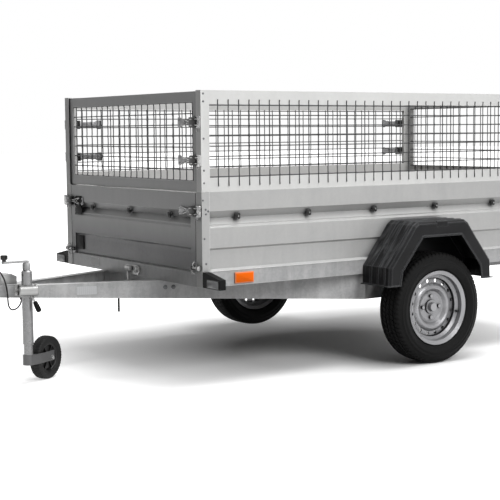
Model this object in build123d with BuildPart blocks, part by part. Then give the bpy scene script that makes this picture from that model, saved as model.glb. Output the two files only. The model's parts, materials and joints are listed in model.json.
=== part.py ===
"""Single-axle tipping box trailer with mesh side extensions, a V drawbar, a ball coupling and a jockey wheel.

Millimetres, +X towards the coupling, +Y to the left, +Z up. The origin is on the ground under the middle
of the trailer's overall length.
"""
import os
from math import atan2, cos, degrees, radians, sin, sqrt, tan

from build123d import *

os.makedirs("parts", exist_ok=True)

# ---------------------------------------------------------------- driving dimensions
box_length = 2350
box_width = 1340
nose_reach = 960          # front wall to the tip of the coupling
tail_reach = 45           # rear wall to the back of the rear lamps
axle_setback = 1233       # front wall to the wheel centres

sill_bottom = 444
sill_top = 513
panel_top = 866
mesh_top = 1311
floor_thickness = 15
floor_seat = 501          # underside of the floor panel

sheet = 2.5               # folded wall sheet
plate = 3                 # sills, posts and drawbar channels
wall_depth = 34           # outer face to inner face of a folded wall
swing_gap = 5             # clear gap round a moving flap
rest_gap = 0.5            # between the box and the drawbar it rests on

tyre_radius = 270
tyre_width = 155
rim_radius = 182
rim_width = 115
track_outset = 112.5      # box side to the tyre's centre plane

nose_overhang = 240       # tip of the coupling to the front end of the drawbar beams
beam_tip_y = 31
bend_setback = 950        # front wall to the bend in the drawbar
rail_inset = 38           # box side to the outer face of the parallel rails
beam_flange = 40
beam_tip_depth = 49.5
rail_depth = 129.5
pivot_setback = 1300      # front wall to the tipping pivot
pivot_height = 425
pivot_radius = 10

jockey_setback = 132      # front end of the beams to the jockey tube's axis
jockey_outset = 39        # beam's outer face to the jockey tube's axis, square to the beam
jockey_yaw = 31           # degrees, where the fork trails to
jockey_trail = 135
jockey_wheel_radius = 100
jockey_wheel_width = 50
slide_gap = 0.3
pin_gap = 0.08

# ---------------------------------------------------------------- worked-out places
front_x = (nose_reach + box_length + tail_reach) / 2 - nose_reach
rear_x = front_x - box_length
axle_x = front_x - axle_setback
bend_x = front_x - bend_setback
beam_tip_reach = nose_reach - nose_overhang
tip_x = front_x + beam_tip_reach
pivot_x = front_x - pivot_setback
side_y = box_width / 2
wheel_y = side_y + track_outset
rail_y = side_y - rail_inset
beam_slope = (rail_y - beam_tip_y) / (tip_x - bend_x)
beam_slant = sqrt(1 + beam_slope * beam_slope)
beam_rise = (rail_depth - beam_tip_depth) / (tip_x - bend_x)
beam_top = sill_bottom - rest_gap
rail_bottom = beam_top - rail_depth
left_right = (1, -1)
ends = ((front_x, -1), (rear_x, 1))     # place of an end wall, the way back into the box
from_base = (Align.CENTER, Align.CENTER, Align.MIN)


def save(piece, label):
    """Label a finished piece and write its STEP file."""
    piece.part.label = label
    export_step(piece.part, f"parts/{label}.step")


def folded(path, thickness):
    """Closed outline of a folded sheet whose outer face follows path, thickened to the left of it."""
    inner = []
    for i, (x, y) in enumerate(path):
        normals = []
        for (ax, ay), (bx, by) in ((path[i - 1], path[i]) if i else (path[0], path[1]),
                                   (path[i], path[i + 1]) if i + 1 < len(path) else (path[-2], path[-1])):
            run = sqrt((bx - ax) ** 2 + (by - ay) ** 2)
            normals.append((-(by - ay) / run, (bx - ax) / run))
        (ux, uy), (vx, vy) = normals
        share = thickness / (1 + ux * vx + uy * vy)
        inner.append((x + share * (ux + vx), y + share * (uy + vy)))
    return list(path) + inner[::-1]


# Folds of a wall sheet: depth in from its outer plane, height above the ground.
upper_folds = [(0, 781), (24, 749), (6, 722), (6, 716), (0, 706), (0, 617), (8, 608)]
lower_fold_depth = 8
hook_height = 754

# ================================================================ fixed box walls
post_front_leg = 50
post_side_leg = 40

side_folds = [(wall_depth, panel_top - 14), (wall_depth, panel_top), (0, panel_top)] + upper_folds + [
    (lower_fold_depth, sill_top + 11), (0, sill_top), (wall_depth, sill_top)]

for name, hand in (("side_panel_left", 1), ("side_panel_right", -1)):
    with BuildPart() as side_panel:
        with BuildSketch(Plane.YZ.offset(rear_x + post_side_leg)):
            profile = [(side_y - depth, height) for depth, height in folded(side_folds, sheet)]
            Polygon([(hand * y, z) for y, z in profile], align=None)
        extrude(amount=box_length - 2 * post_side_leg)
    save(side_panel, name)

with BuildPart() as corner_posts:
    for end_x, back in ends:
        for hand in left_right:
            with BuildSketch(Plane.XY.offset(sill_bottom)):
                Polygon([(end_x, hand * side_y),
                         (end_x + back * post_side_leg, hand * side_y),
                         (end_x + back * post_side_leg, hand * (side_y - plate)),
                         (end_x + back * plate, hand * (side_y - plate)),
                         (end_x + back * plate, hand * (side_y - post_front_leg)),
                         (end_x, hand * (side_y - post_front_leg))], align=None)
            extrude(amount=panel_top - sill_bottom)
save(corner_posts, "corner_posts")

# ---------------------------------------------------------------- floor frame and floor
sill_depth = 40
sill_outer_y = side_y - plate
end_sill_top = sill_top - 5
bearer_width = 44
bearer_brim = 20
bearer_setback = 185      # end wall to the middle of the first bearer
bearers = 7
bearer_pitch = (box_length - 2 * bearer_setback) / (bearers - 1)


def sill_section(web_top):
    """Rows of depth, underside and top for a sill whose web ends at web_top."""
    return ((plate, sill_bottom, web_top),
            (sill_depth, sill_bottom, sill_bottom + plate),
            (sill_depth, floor_seat - plate, floor_seat))


with BuildPart() as side_sills:
    with BuildSketch(Plane.YZ.offset(rear_x + plate)):
        for hand in left_right:
            for deep, low, high in sill_section(sill_top):
                with Locations((hand * (sill_outer_y - deep / 2), (low + high) / 2)):
                    Rectangle(deep, high - low)
    extrude(amount=box_length - 2 * plate)
save(side_sills, "side_sills")

with BuildPart() as end_sills:
    with BuildSketch(Plane.XZ):
        for end_x, back in ends:
            for deep, low, high in sill_section(end_sill_top):
                with Locations((end_x + back * (plate + deep / 2), (low + high) / 2)):
                    Rectangle(deep, high - low)
    extrude(amount=sill_outer_y - sill_depth, both=True)
save(end_sills, "end_sills")

with BuildPart() as floor_bearers:
    for step in range(bearers):
        x = front_x - bearer_setback - step * bearer_pitch
        brim_top = sill_bottom + sheet
        hat = [(x + bearer_width / 2 + bearer_brim, brim_top), (x + bearer_width / 2, brim_top),
               (x + bearer_width / 2, floor_seat), (x - bearer_width / 2, floor_seat),
               (x - bearer_width / 2, brim_top), (x - bearer_width / 2 - bearer_brim, brim_top)]
        with BuildSketch(Plane.XZ):
            Polygon(folded(hat, sheet), align=None)
        extrude(amount=sill_outer_y - sill_depth, both=True)
save(floor_bearers, "floor_bearers")

floor_length = box_length - 2 * (post_side_leg + 1)
with BuildPart() as floor_panel:
    with BuildSketch(Plane.XY.offset(floor_seat)):
        with Locations((front_x - box_length / 2, 0)):
            Rectangle(floor_length, 2 * (side_y - wall_depth - 2))
    extrude(amount=floor_thickness)
save(floor_panel, "floor_panel")

# Box-section rails under the rear of the box, with the ears that hang on the tipping pivots.
tip_rail_inset = 45       # outer face of the drawbar's rail to that of the tipping rail
rail_outer_y = rail_y - tip_rail_inset
rail_wide = 30
rail_high = 29
ear_thickness = 8
ear_radius = 17
rail_front_x = pivot_x + 40
rail_length = box_length - pivot_setback + 30
with BuildPart() as tip_rails:
    for hand in left_right:
        with BuildSketch(Plane.YZ.offset(rail_front_x)):
            with Locations((hand * (rail_outer_y - rail_wide / 2), sill_bottom - rail_high / 2)):
                Rectangle(rail_wide, rail_high)
                Rectangle(rail_wide - 2 * plate, rail_high - 2 * plate, mode=Mode.SUBTRACT)
        extrude(amount=-rail_length)
        with BuildSketch(Plane.XZ.offset(-hand * (rail_outer_y - ear_thickness / 2))):
            with Locations((pivot_x, pivot_height)):
                Circle(ear_radius)
            with Locations((pivot_x, (pivot_height + sill_bottom - plate) / 2)):
                Rectangle(2 * ear_radius, sill_bottom - plate - pivot_height)
            with Locations((pivot_x, pivot_height)):
                Circle(pivot_radius + pin_gap, mode=Mode.SUBTRACT)
        extrude(amount=ear_thickness / 2, both=True)
        with BuildSketch(Plane.XZ.offset(-hand * (rail_outer_y - rail_wide / 2))):
            with Locations((pivot_x, pivot_height)):
                Circle(pivot_radius + pin_gap)
        extrude(amount=rail_wide, both=True, mode=Mode.SUBTRACT)
save(tip_rails, "tip_rails")

# ================================================================ flaps
flap_bottom = sill_top + 5
flap_top = panel_top - swing_gap
flap_half = side_y - post_front_leg - swing_gap
flap_end_wide = 40        # flat strip that closes the folds at each end of a flap
flap_end_top = upper_folds[0][1]
hinge_height = 530
hinge_out = 9             # hinge line in front of the wall's outer plane
hinge_pin_radius = 5
knuckle_radius = 9
knuckle_width = 8
knuckle_inset = 19        # flap's end to the middle of its knuckle
knuckle_y = flap_half - knuckle_inset
pin_end_y = side_y - 18
lug_y = side_y - 30

flap_folds = [(wall_depth, flap_top - 14), (wall_depth, flap_top), (0, flap_top)] + upper_folds + [
    (lower_fold_depth, flap_bottom), (wall_depth, flap_bottom)]

for name, end_x, back in (("front_flap", front_x, -1), ("tailgate", rear_x, 1)):
    hinge_x = end_x - back * hinge_out
    with BuildPart() as flap:
        with BuildSketch(Plane.XZ):
            Polygon([(end_x + back * depth, height)
                     for depth, height in folded(flap_folds, sheet)], align=None)
        extrude(amount=flap_half, both=True)
        for hand in left_right:
            with BuildSketch(Plane.XZ.offset(hand * (flap_half - sheet / 2))):
                Polygon([(end_x + back * depth, height) for depth, height in flap_folds[1:]], align=None)
            extrude(amount=sheet / 2, both=True)
            with BuildSketch(Plane.YZ.offset(end_x)):
                with Locations((hand * (flap_half - flap_end_wide / 2), (flap_bottom + flap_end_top) / 2)):
                    Rectangle(flap_end_wide, flap_end_top - flap_bottom)
            extrude(amount=back * sheet)
            with BuildSketch(Plane.XZ.offset(hand * knuckle_y)):
                with Locations((hinge_x, hinge_height)):
                    Circle(knuckle_radius)
                with Locations(((hinge_x + end_x + back * lower_fold_depth) / 2, hinge_height)):
                    Rectangle(hinge_out + lower_fold_depth, 2 * knuckle_radius)
                with Locations((hinge_x, hinge_height)):
                    Circle(hinge_pin_radius + pin_gap, mode=Mode.SUBTRACT)
            extrude(amount=knuckle_width / 2, both=True)
    save(flap, name)

with BuildPart() as flap_hinges:
    for end_x, back in ends:
        hinge_x = end_x - back * hinge_out
        for hand in left_right:
            with BuildSketch(Plane.XZ.offset(-hand * (knuckle_y - knuckle_width))):
                with Locations((hinge_x, hinge_height)):
                    Circle(hinge_pin_radius)
            extrude(amount=-hand * (pin_end_y - knuckle_y + knuckle_width))
            with BuildSketch(Plane.XZ.offset(-hand * lug_y)):
                with Locations((hinge_x, hinge_height)):
                    Circle(knuckle_radius)
                with Locations(((hinge_x + end_x) / 2, hinge_height)):
                    Rectangle(hinge_out, 2 * knuckle_radius)
            extrude(amount=knuckle_width / 2, both=True)
save(flap_hinges, "flap_hinges")

# ================================================================ mesh extension
side_rail_high = 60
side_stile_wide = 50
side_frame_outer_y = side_y - 10
side_frame_thick = 22
corner_strip = 41
end_rail_high = 47
end_stile_wide = 36
end_frame_thick = 6
end_frame_setback = 8     # outer plane of an end wall to the face of the mesh frame above it
end_frame_drop = 4
wire = 4.5
wire_gap = 0.25
side_wire_pitch = 55
wire_rows = 8
overlap_top = 20
overlap_bottom = 37

for name, hand in (("mesh_frame_left", 1), ("mesh_frame_right", -1)):
    middle_z = (panel_top + mesh_top) / 2
    with BuildPart() as side_frame:
        with BuildSketch(Plane.XZ.offset(-hand * side_frame_outer_y)):
            with Locations((front_x - box_length / 2, middle_z)):
                Rectangle(box_length - 2 * plate, mesh_top - panel_top)
                Rectangle(box_length - 2 * side_stile_wide, mesh_top - panel_top - 2 * side_rail_high,
                          mode=Mode.SUBTRACT)
        extrude(amount=hand * side_frame_thick)
        for end_x, back in ends:
            with BuildSketch(Plane.YZ.offset(end_x)):
                with Locations((hand * (side_y - corner_strip / 2), middle_z)):
                    Rectangle(corner_strip, mesh_top - panel_top)
            extrude(amount=back * plate)
    save(side_frame, name)

end_frame_half = side_frame_outer_y - side_frame_thick
end_frame_top = mesh_top - end_frame_drop
end_opening_half = side_y - corner_strip - end_stile_wide
for name, end_x, back in (("mesh_frame_front", front_x, -1), ("mesh_frame_rear", rear_x, 1)):
    with BuildPart() as end_frame:
        with BuildSketch(Plane.YZ.offset(end_x + back * end_frame_setback)):
            with Locations((0, (panel_top + end_frame_top) / 2)):
                Rectangle(2 * end_frame_half, end_frame_top - panel_top)
                Rectangle(2 * end_opening_half, end_frame_top - panel_top - 2 * end_rail_high,
                          mode=Mode.SUBTRACT)
        extrude(amount=back * end_frame_thick)
    save(end_frame, name)

# Uprights lie on the frame and rows against the uprights.
side_opening_half = box_length / 2 - side_stile_wide
side_low = panel_top + side_rail_high
side_high = mesh_top - side_rail_high
end_low = panel_top + end_rail_high
end_high = end_frame_top - end_rail_high
side_end_margin = 44      # end of the opening to the first upright
end_end_margin = 20
row_overlap = 20          # rows reach this far behind the stiles of an end frame


def wire_places(half_span, pitch):
    """Places of the uprights from one margin to the other, evenly spaced at about the pitch."""
    count = int(2 * half_span / pitch)
    return [(i - count / 2) * 2 * half_span / count for i in range(count + 1)]


def wire_heights(low, high):
    """Heights of the rows from the bottom of an opening to its top."""
    return [low + (high - low) * row / (wire_rows - 1) for row in range(wire_rows)]


side_upright_z = (side_low - overlap_bottom + side_high + overlap_top) / 2
side_row_heights = wire_heights(side_low + wire, side_high - wire)
for name, hand in (("mesh_wires_left", 1), ("mesh_wires_right", -1)):
    with BuildPart() as side_wires:
        with BuildSketch(Plane.XZ.offset(-hand * side_frame_outer_y)):
            with Locations([(front_x - box_length / 2 + x, side_upright_z)
                            for x in wire_places(side_opening_half - side_end_margin, side_wire_pitch)]):
                Rectangle(wire, side_high - side_low + overlap_top + overlap_bottom)
        extrude(amount=-hand * wire)
        with BuildSketch(Plane.XZ.offset(-hand * (side_frame_outer_y - wire_gap))):
            with Locations([(front_x - box_length / 2, z) for z in side_row_heights]):
                Rectangle(2 * (side_opening_half - wire_gap), wire)
        extrude(amount=hand * wire)
    save(side_wires, name)

for name, end_x, back in (("mesh_wires_front", front_x, -1), ("mesh_wires_rear", rear_x, 1)):
    wires_x = end_x + back * (end_frame_setback + end_frame_thick)
    with BuildPart() as end_wires:
        with BuildSketch(Plane.YZ.offset(wires_x)):
            with Locations([(y, (end_low - overlap_bottom + end_high + overlap_top) / 2)
                            for y in wire_places(end_opening_half - end_end_margin, side_wire_pitch)]):
                Rectangle(wire, end_high - end_low + overlap_top + overlap_bottom)
        extrude(amount=back * wire)
        with BuildSketch(Plane.YZ.offset(wires_x + back * (wire + wire_gap))):
            with Locations([(0, z) for z in wire_heights(end_low, end_high)]):
                Rectangle(2 * (end_opening_half + row_overlap), wire)
        extrude(amount=back * wire)
    save(end_wires, name)

# ================================================================ fenders
fender_width = 205
fender_skin = 4
lip = 12
# Half outline of a fender: distance from the wheel centre, height above the ground.
fender_half = [(330, 397), (326, 486), (235, 600), (176, 678), (150, 695)]
opening_half = [(262, 390), (250, 465), (123, 620)]


def both_ways(half):
    """Outline mirrored about the wheel centre, from the front foot round to the rear one."""
    return [(axle_x + d, z) for d, z in half] + [(axle_x - d, z) for d, z in half[::-1]]


edge_bevel = 12
lip_proud = 3             # rolled lip of the opening and foot, proud of the skirt
lip_wide = 8
rib_proud = 2.5
rib_wide = 12
rib_insets = (62, 112, 162)       # box side to the middle of each rib over the mantle
pad_wide = 72             # flat pad in the middle of the bevelled edge
pad_high = 26
liner_low = 405
foot_past = 20            # cutting outlines run this far below the feet
skirt_y = side_y + fender_width - lip_proud
foot, foot_z = fender_half[0]
crown_z = fender_half[-1][1]


def inset_path(half, depth):
    """Outline moved inwards by depth and run down past the feet."""
    inner = folded(both_ways(half), depth)[2 * len(half):][::-1]
    past = foot_z - foot_past
    return [(inner[0][0], past)] + inner + [(inner[-1][0], past)]


with BuildPart() as fender_cavity:
    with BuildSketch(Plane.XZ.offset(-side_y - fender_skin)):
        Polygon(inset_path(fender_half, fender_skin), align=None)
    extrude(amount=-(skirt_y - side_y - 2 * fender_skin))
    chamfer(fender_cavity.faces().sort_by(Axis.Y)[-1].edges().filter_by(
        lambda edge: edge.center().Z > foot_z + 1), edge_bevel - fender_skin * (2 - sqrt(2)))

with BuildPart() as fender_left:
    with BuildSketch(Plane.XZ.offset(-side_y)):
        Polygon(both_ways(fender_half), align=None)
    extrude(amount=side_y - skirt_y)
    chamfer(fender_left.faces().sort_by(Axis.Y)[-1].edges().filter_by(
        lambda edge: edge.center().Z > foot_z + 1), edge_bevel)
    add(fender_cavity.part, mode=Mode.SUBTRACT)
    with BuildSketch(Plane.XZ.offset(-side_y)):
        with Locations((axle_x, (foot_z + liner_low) / 2)):
            Rectangle(2 * foot - 2 * fender_skin - 2, liner_low - foot_z)
    extrude(amount=-fender_skin, mode=Mode.SUBTRACT)
    with BuildSketch(Plane.XZ.offset(-skirt_y - lip_proud)):
        Polygon(inset_path(opening_half, -lip_wide), align=None)
    extrude(amount=lip_proud)
    with BuildSketch(Plane.XZ.offset(-skirt_y - lip_proud)):
        Polygon(both_ways(opening_half), align=None)
        with Locations((axle_x, foot_z - foot_past)):
            Rectangle(box_length, 2 * foot_past)
    extrude(amount=lip_proud + fender_skin + 1, mode=Mode.SUBTRACT)
    for inset in rib_insets:
        with BuildSketch(Plane.XZ.offset(-side_y - inset + rib_wide / 2)):
            Polygon(folded(both_ways(fender_half)[::-1], rib_proud), align=None)
        extrude(amount=-rib_wide)
    with BuildSketch(Plane.XZ.offset(-skirt_y)):
        with Locations((axle_x, crown_z - pad_high / 2)):
            Rectangle(pad_wide, pad_high)
    extrude(amount=edge_bevel)
    for way in (1, -1):
        with BuildSketch(Plane.XY.offset(foot_z)):
            with Locations((axle_x + way * (foot + lip / 2 - 1), side_y + fender_width / 2)):
                Rectangle(lip + 2, fender_width)
            with Locations((axle_x + way * (foot + opening_half[0][0]) / 2, skirt_y + lip_proud / 2)):
                Rectangle(foot - opening_half[0][0], lip_proud)
        extrude(amount=fender_skin)
save(fender_left, "fender_left")

with BuildPart() as fender_right:
    mirror(fender_left.part, about=Plane.XZ)
save(fender_right, "fender_right")

# ================================================================ drawbar
def beam_path(inset):
    """Plan points of a line inset from the left beam's outer face: tip, bend, rear end."""
    tail_x = pivot_x + 20
    return [(tip_x, beam_tip_y - inset * beam_slant),
            (bend_x + inset * (beam_slant - 1) / beam_slope, rail_y - inset),
            (tail_x, rail_y - inset)]


def beam_side(skin):
    """Side outline of the tapered beam, skin inside its outer faces, run past both ends."""
    past = 200
    return [(tip_x + past, beam_top - skin),
            (tip_x + past, beam_top - beam_tip_depth + beam_rise * past + skin),
            (bend_x, rail_bottom + skin),
            (pivot_x - past, rail_bottom + skin),
            (pivot_x - past, beam_top - skin)]


centre_gap = 0.2
axle_tube = 60
axle_ahead = 150          # how far the tube lies ahead of the wheel centres
tube_x = axle_x + axle_ahead
tube_z = rail_bottom + plate + axle_tube / 2
with BuildPart() as beam_hollow:
    with BuildSketch(Plane.XY):
        Polygon(beam_path(plate) + beam_path(beam_flange + 10)[::-1], align=None)
    extrude(amount=beam_top)
    with BuildSketch(Plane.XZ):
        Polygon(beam_side(plate), align=None)
    extrude(amount=box_width, both=True, mode=Mode.INTERSECT)

with BuildPart() as drawbar_left:
    with BuildSketch(Plane.XY):
        Polygon(beam_path(0) + beam_path(beam_flange)[::-1], align=None)
        with Locations((tip_x, centre_gap - box_width / 2)):
            Rectangle(box_length, box_width, mode=Mode.SUBTRACT)
    extrude(amount=beam_top)
    with BuildSketch(Plane.XZ):
        Polygon(beam_side(0), align=None)
    extrude(amount=box_width, both=True, mode=Mode.INTERSECT)
    add(beam_hollow.part, mode=Mode.SUBTRACT)
    with BuildSketch(Plane.XZ.offset(-rail_y)):
        with Locations((pivot_x, pivot_height)):
            Circle(pivot_radius + 5)
        with Locations((pivot_x + 15, pivot_height)):
            Rectangle(30, 2 * pivot_radius + 10)
    extrude(amount=plate)
    with BuildSketch(Plane.XZ.offset(-rail_y)):
        with Locations((tube_x, tube_z + rest_gap / 2)):
            Rectangle(axle_tube + 2 * rest_gap, axle_tube + rest_gap)
    extrude(amount=plate, mode=Mode.SUBTRACT)
save(drawbar_left, "drawbar_left")

with BuildPart() as drawbar_right:
    mirror(drawbar_left.part, about=Plane.XZ)
save(drawbar_right, "drawbar_right")

# Cross-members between the beams: distance behind the front wall, underside.
cross_wide = 60
cross_top = beam_top - plate
cross_members = ((43, 378), (905, 345))


def beam_inner_y(x):
    """Half gap between the beams' webs at x, ahead of the bend."""
    return beam_tip_y + beam_slope * (tip_x - x) - plate * beam_slant


with BuildPart() as drawbar_cross:
    for setback, low in cross_members:
        high = cross_top
        x = front_x - setback
        ahead = beam_inner_y(x + cross_wide / 2)
        behind = beam_inner_y(x - cross_wide / 2)
        with BuildSketch(Plane.XY.offset(low)):
            Polygon([(x + cross_wide / 2, ahead), (x - cross_wide / 2, behind),
                     (x - cross_wide / 2, -behind), (x + cross_wide / 2, -ahead)], align=None)
        extrude(amount=high - low)
        with BuildSketch(Plane.XZ):
            with Locations((x - plate, (low + high) / 2)):
                Rectangle(cross_wide, high - low - 2 * plate)
        extrude(amount=box_width, both=True, mode=Mode.SUBTRACT)
    for hand in left_right:
        with BuildSketch(Plane.XZ.offset(-hand * (rail_y - plate))):
            with Locations((pivot_x, pivot_height)):
                Circle(pivot_radius)
        extrude(amount=hand * (rail_y - plate - rail_outer_y + rail_wide + swing_gap))
save(drawbar_cross, "drawbar_cross")

# ---------------------------------------------------------------- coupling
nose_plate_high = 6
nose_plate_long = 160
head_radius = 55
coupling_ball_reach = nose_reach - head_radius
coupling_seat = beam_top + nose_plate_high
ball_radius = 25.4
cup_depth = 34
stem_wide = 76
stem_overlap = 120        # length of the stem that lies on the drawbar
stem_back = beam_tip_reach - stem_overlap
stem_high = 46
head_low = coupling_seat - 14
head_high = coupling_seat + 46
stem_nose = 95            # ball's place back to where the stem starts to widen
stem_shoulder = 25
shoulder_drop = 12
head_back = 40
head_shoulder = 20
ball_x = front_x + coupling_ball_reach
stem_end_x = front_x + stem_back

with BuildPart() as nose_plate:
    with BuildSketch(Plane.XY.offset(beam_top)):
        back_x = tip_x - nose_plate_long
        back_y = beam_tip_y + beam_slope * (tip_x - back_x)
        Polygon([(tip_x, beam_tip_y), (back_x, back_y), (back_x, -back_y), (tip_x, -beam_tip_y)], align=None)
    extrude(amount=nose_plate_high)
save(nose_plate, "nose_plate")

with BuildPart() as coupling_head:
    with BuildSketch(Plane.XZ):
        Polygon([(stem_end_x, coupling_seat), (stem_end_x, coupling_seat + stem_high - shoulder_drop),
                 (stem_end_x + stem_shoulder, coupling_seat + stem_high), (ball_x - head_back, head_high),
                 (ball_x + head_radius, head_high), (ball_x + head_radius, head_low),
                 (ball_x - head_radius, head_low), (ball_x - head_radius - 30, coupling_seat)], align=None)
    extrude(amount=head_radius, both=True)
    with BuildSketch(Plane.XY):
        with Locations((ball_x, 0)):
            Circle(head_radius)
        Polygon([(stem_end_x, stem_wide / 2), (stem_end_x, -stem_wide / 2),
                 (ball_x - stem_nose, -stem_wide / 2), (ball_x - head_shoulder, -head_radius * 0.9),
                 (ball_x - head_shoulder, head_radius * 0.9), (ball_x - stem_nose, stem_wide / 2)],
                align=None)
    extrude(amount=head_high, mode=Mode.INTERSECT)
    with BuildSketch(Plane.XY.offset(head_low)):
        with Locations((ball_x, 0)):
            Circle(ball_radius)
    extrude(amount=cup_depth, mode=Mode.SUBTRACT)
save(coupling_head, "coupling_head")

handle_wide = 40
handle_long = 190         # ball's place back to the end of the handle
handle_rise = 46
grip_slot = 70
with BuildPart() as coupling_handle:
    with BuildSketch(Plane.XZ):
        Polygon([(ball_x - 18, head_high), (ball_x + 22, head_high), (ball_x + 14, head_high + 20),
                 (ball_x - 30, head_high + 34), (ball_x - handle_long, head_high + handle_rise),
                 (ball_x - handle_long - 2, head_high + handle_rise - 10),
                 (ball_x - 60, head_high + 16)], align=None)
    extrude(amount=handle_wide / 2, both=True)
    with BuildSketch(Plane.XY.offset(head_high)):
        with Locations((ball_x - 0.6 * handle_long, 0)):
            SlotOverall(grip_slot, handle_wide - 18)
    extrude(amount=2 * handle_rise, mode=Mode.SUBTRACT)
save(coupling_handle, "coupling_handle")

# ---------------------------------------------------------------- axle
arm_room = 101.5          # wheel's centre plane to the outer face of the swing arm
arm_thick = 26
arm_radius = 40
stub_radius = 20
stub_end_y = wheel_y + 4
axle_half = wheel_y - arm_room - arm_thick
bracket_long = 150
bracket_thick = 6

with BuildPart() as axle_beam:
    with BuildSketch(Plane.XZ):
        with Locations((tube_x, tube_z)):
            RectangleRounded(axle_tube, axle_tube, 8)
    extrude(amount=axle_half, both=True)
    for hand in left_right:
        with BuildSketch(Plane.XZ.offset(-hand * (rail_y - plate))):
            with Locations((tube_x, (tube_z + axle_tube / 2 + beam_top - plate) / 2)):
                Rectangle(bracket_long, beam_top - plate - tube_z - axle_tube / 2 - 12)
            with Locations((tube_x, (tube_z + beam_top - plate - 6) / 2)):
                Rectangle(axle_tube + 40, beam_top - plate - tube_z - 6)
        extrude(amount=hand * bracket_thick)
save(axle_beam, "axle_beam")

with BuildPart() as swing_arms:
    for hand in left_right:
        with BuildSketch(Plane.XZ.offset(-hand * axle_half)):
            with Locations((tube_x, tube_z)):
                Circle(arm_radius)
            with Locations((axle_x, tyre_radius)):
                Circle(arm_radius * 0.8)
            reach = sqrt(axle_ahead ** 2 + (tube_z - tyre_radius) ** 2)
            with Locations(Location((axle_x + axle_ahead / 2, (tube_z + tyre_radius) / 2), degrees(
                    atan2(tube_z - tyre_radius, axle_ahead)))):
                Rectangle(reach, arm_radius * 1.4)
        extrude(amount=-hand * arm_thick)
        with BuildSketch(Plane.XZ.offset(-hand * (axle_half + arm_thick))):
            with Locations((axle_x, tyre_radius)):
                Circle(stub_radius)
        extrude(amount=-hand * (stub_end_y - axle_half - arm_thick))
save(swing_arms, "swing_arms")

# ================================================================ wheels
# Half sections: radius, distance outboard of the tyre's centre plane.
rim_skin = 4
rim_well = [(rim_radius, rim_width / 2), (166, 50), (163, 28), (148, 20), (148, -22), (163, -32), (166, -50),
            (rim_radius, -rim_width / 2)]
disc_skin = 5
disc_face = 5             # wheel's centre plane to the outer face of the disc's middle
disc_path = [(146, -8), (144, 6), (140, 12), (119, 14), (112, 20), (105, 25), (97, 27), (89, 23), (77, 9),
             (67, disc_face), (34, disc_face)]
vent_count = 16
vent_radius = 9
vent_ring = 130
vent_turn = 11.25
drum_radius = 82
bolt_circle = 52
bolt_radius = 9
bolts = 4
cap_radius = 22
hub_long = 62
bore_past = 10            # bore runs this far past the disc's seat into the boss

for side_name, hand in (("left", 1), ("right", -1)):
    centre_y = hand * wheel_y
    hub_plane = Plane(origin=(axle_x, centre_y, tyre_radius), x_dir=(1, 0, 0), z_dir=(0, hand, 0))
    axle_line = Axis((axle_x, 0, tyre_radius), (0, hand, 0))
    section = Plane(origin=(axle_x, centre_y, tyre_radius), x_dir=(1, 0, 0), z_dir=(0, 0, hand))

    with BuildPart() as tyre:
        with BuildSketch(section):
            with BuildLine():
                half_crown = tyre_width / 2 - 18
                bead = rim_radius + 2
                Polyline((166.2, 47), (bead, 56.5))
                ThreePointArc((bead, 56.5), (218, tyre_width / 2), (258, 66))
                Polyline((258, 66), (tyre_radius - 3, half_crown - 2), (tyre_radius, 30), (tyre_radius, -30),
                         (tyre_radius - 3, 2 - half_crown), (258, -66))
                ThreePointArc((258, -66), (218, -tyre_width / 2), (bead, -56.5))
                Polyline((bead, -56.5), (166.2, -47), (166.2, 47))
            make_face()
        revolve(axis=axle_line)
    save(tyre, f"tyre_{side_name}")

    with BuildPart() as rim:
        with BuildSketch(section):
            Polygon(folded(rim_well[::-1], rim_skin), align=None)
            Polygon(folded(disc_path, disc_skin), align=None)
        revolve(axis=axle_line)
        with BuildSketch(hub_plane):
            with PolarLocations(vent_ring, vent_count, start_angle=vent_turn):
                Circle(vent_radius)
            with PolarLocations(bolt_circle, bolts):
                Circle(bolt_radius / 2 + pin_gap)
        extrude(amount=rim_width, both=True, mode=Mode.SUBTRACT)
    save(rim, f"rim_{side_name}")

    mount_w = disc_face - disc_skin
    with BuildPart() as hub:
        with BuildSketch(hub_plane.offset(mount_w)):
            Circle(drum_radius)
        extrude(amount=-hub_long)
        with BuildSketch(hub_plane.offset(mount_w)):
            Circle(33)
        extrude(amount=14)
        with BuildSketch(hub_plane.offset(mount_w + 14)):
            Circle(cap_radius)
        extrude(amount=16, taper=12)
        with BuildSketch(hub_plane.offset(mount_w + disc_skin)):
            with PolarLocations(bolt_circle, bolts):
                RegularPolygon(bolt_radius, 6)
        extrude(amount=9)
        with BuildSketch(hub_plane.offset(mount_w)):
            with PolarLocations(bolt_circle, bolts):
                Circle(bolt_radius / 2)
        extrude(amount=disc_skin)
        with BuildSketch(hub_plane.offset(mount_w - hub_long)):
            Circle(stub_radius + pin_gap)
        extrude(amount=hub_long + bore_past, mode=Mode.SUBTRACT)
    save(hub, f"hub_{side_name}")

# ================================================================ jockey wheel
jockey_x = tip_x - jockey_setback
jockey_y = beam_tip_y + beam_slope * jockey_setback + jockey_outset * beam_slant
clamp_low = 399
clamp_high = 451
clamp_ring = 34
clamp_neck = 52
clamp_foot = 104
clamp_foot_thick = 6
outer_tube = 24
inner_tube = 20
inner_tube_gap = 0.25
tube_cap = 40             # closed top of the outer tube
inner_tube_drop = 60      # top of the outer tube to that of the inner one
outer_low = 183
outer_high = 518
stem_radius = 9
stem_top = 553
fork_low = 88
fork_high = 133
fork_skin = 5
fork_inner = jockey_wheel_width / 2 + 5.5
fork_collar = 26          # foot of the tube that the arms are welded to
fork_splay = 48           # tube's axis to where the arms run parallel
fork_tip = 18
axle_bolt = 7
swivel_pin = 8
swivel_pin_high = 30
swivel_bore = 40
beam_turn = degrees(atan2(rail_y - beam_tip_y, tip_x - bend_x))

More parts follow.
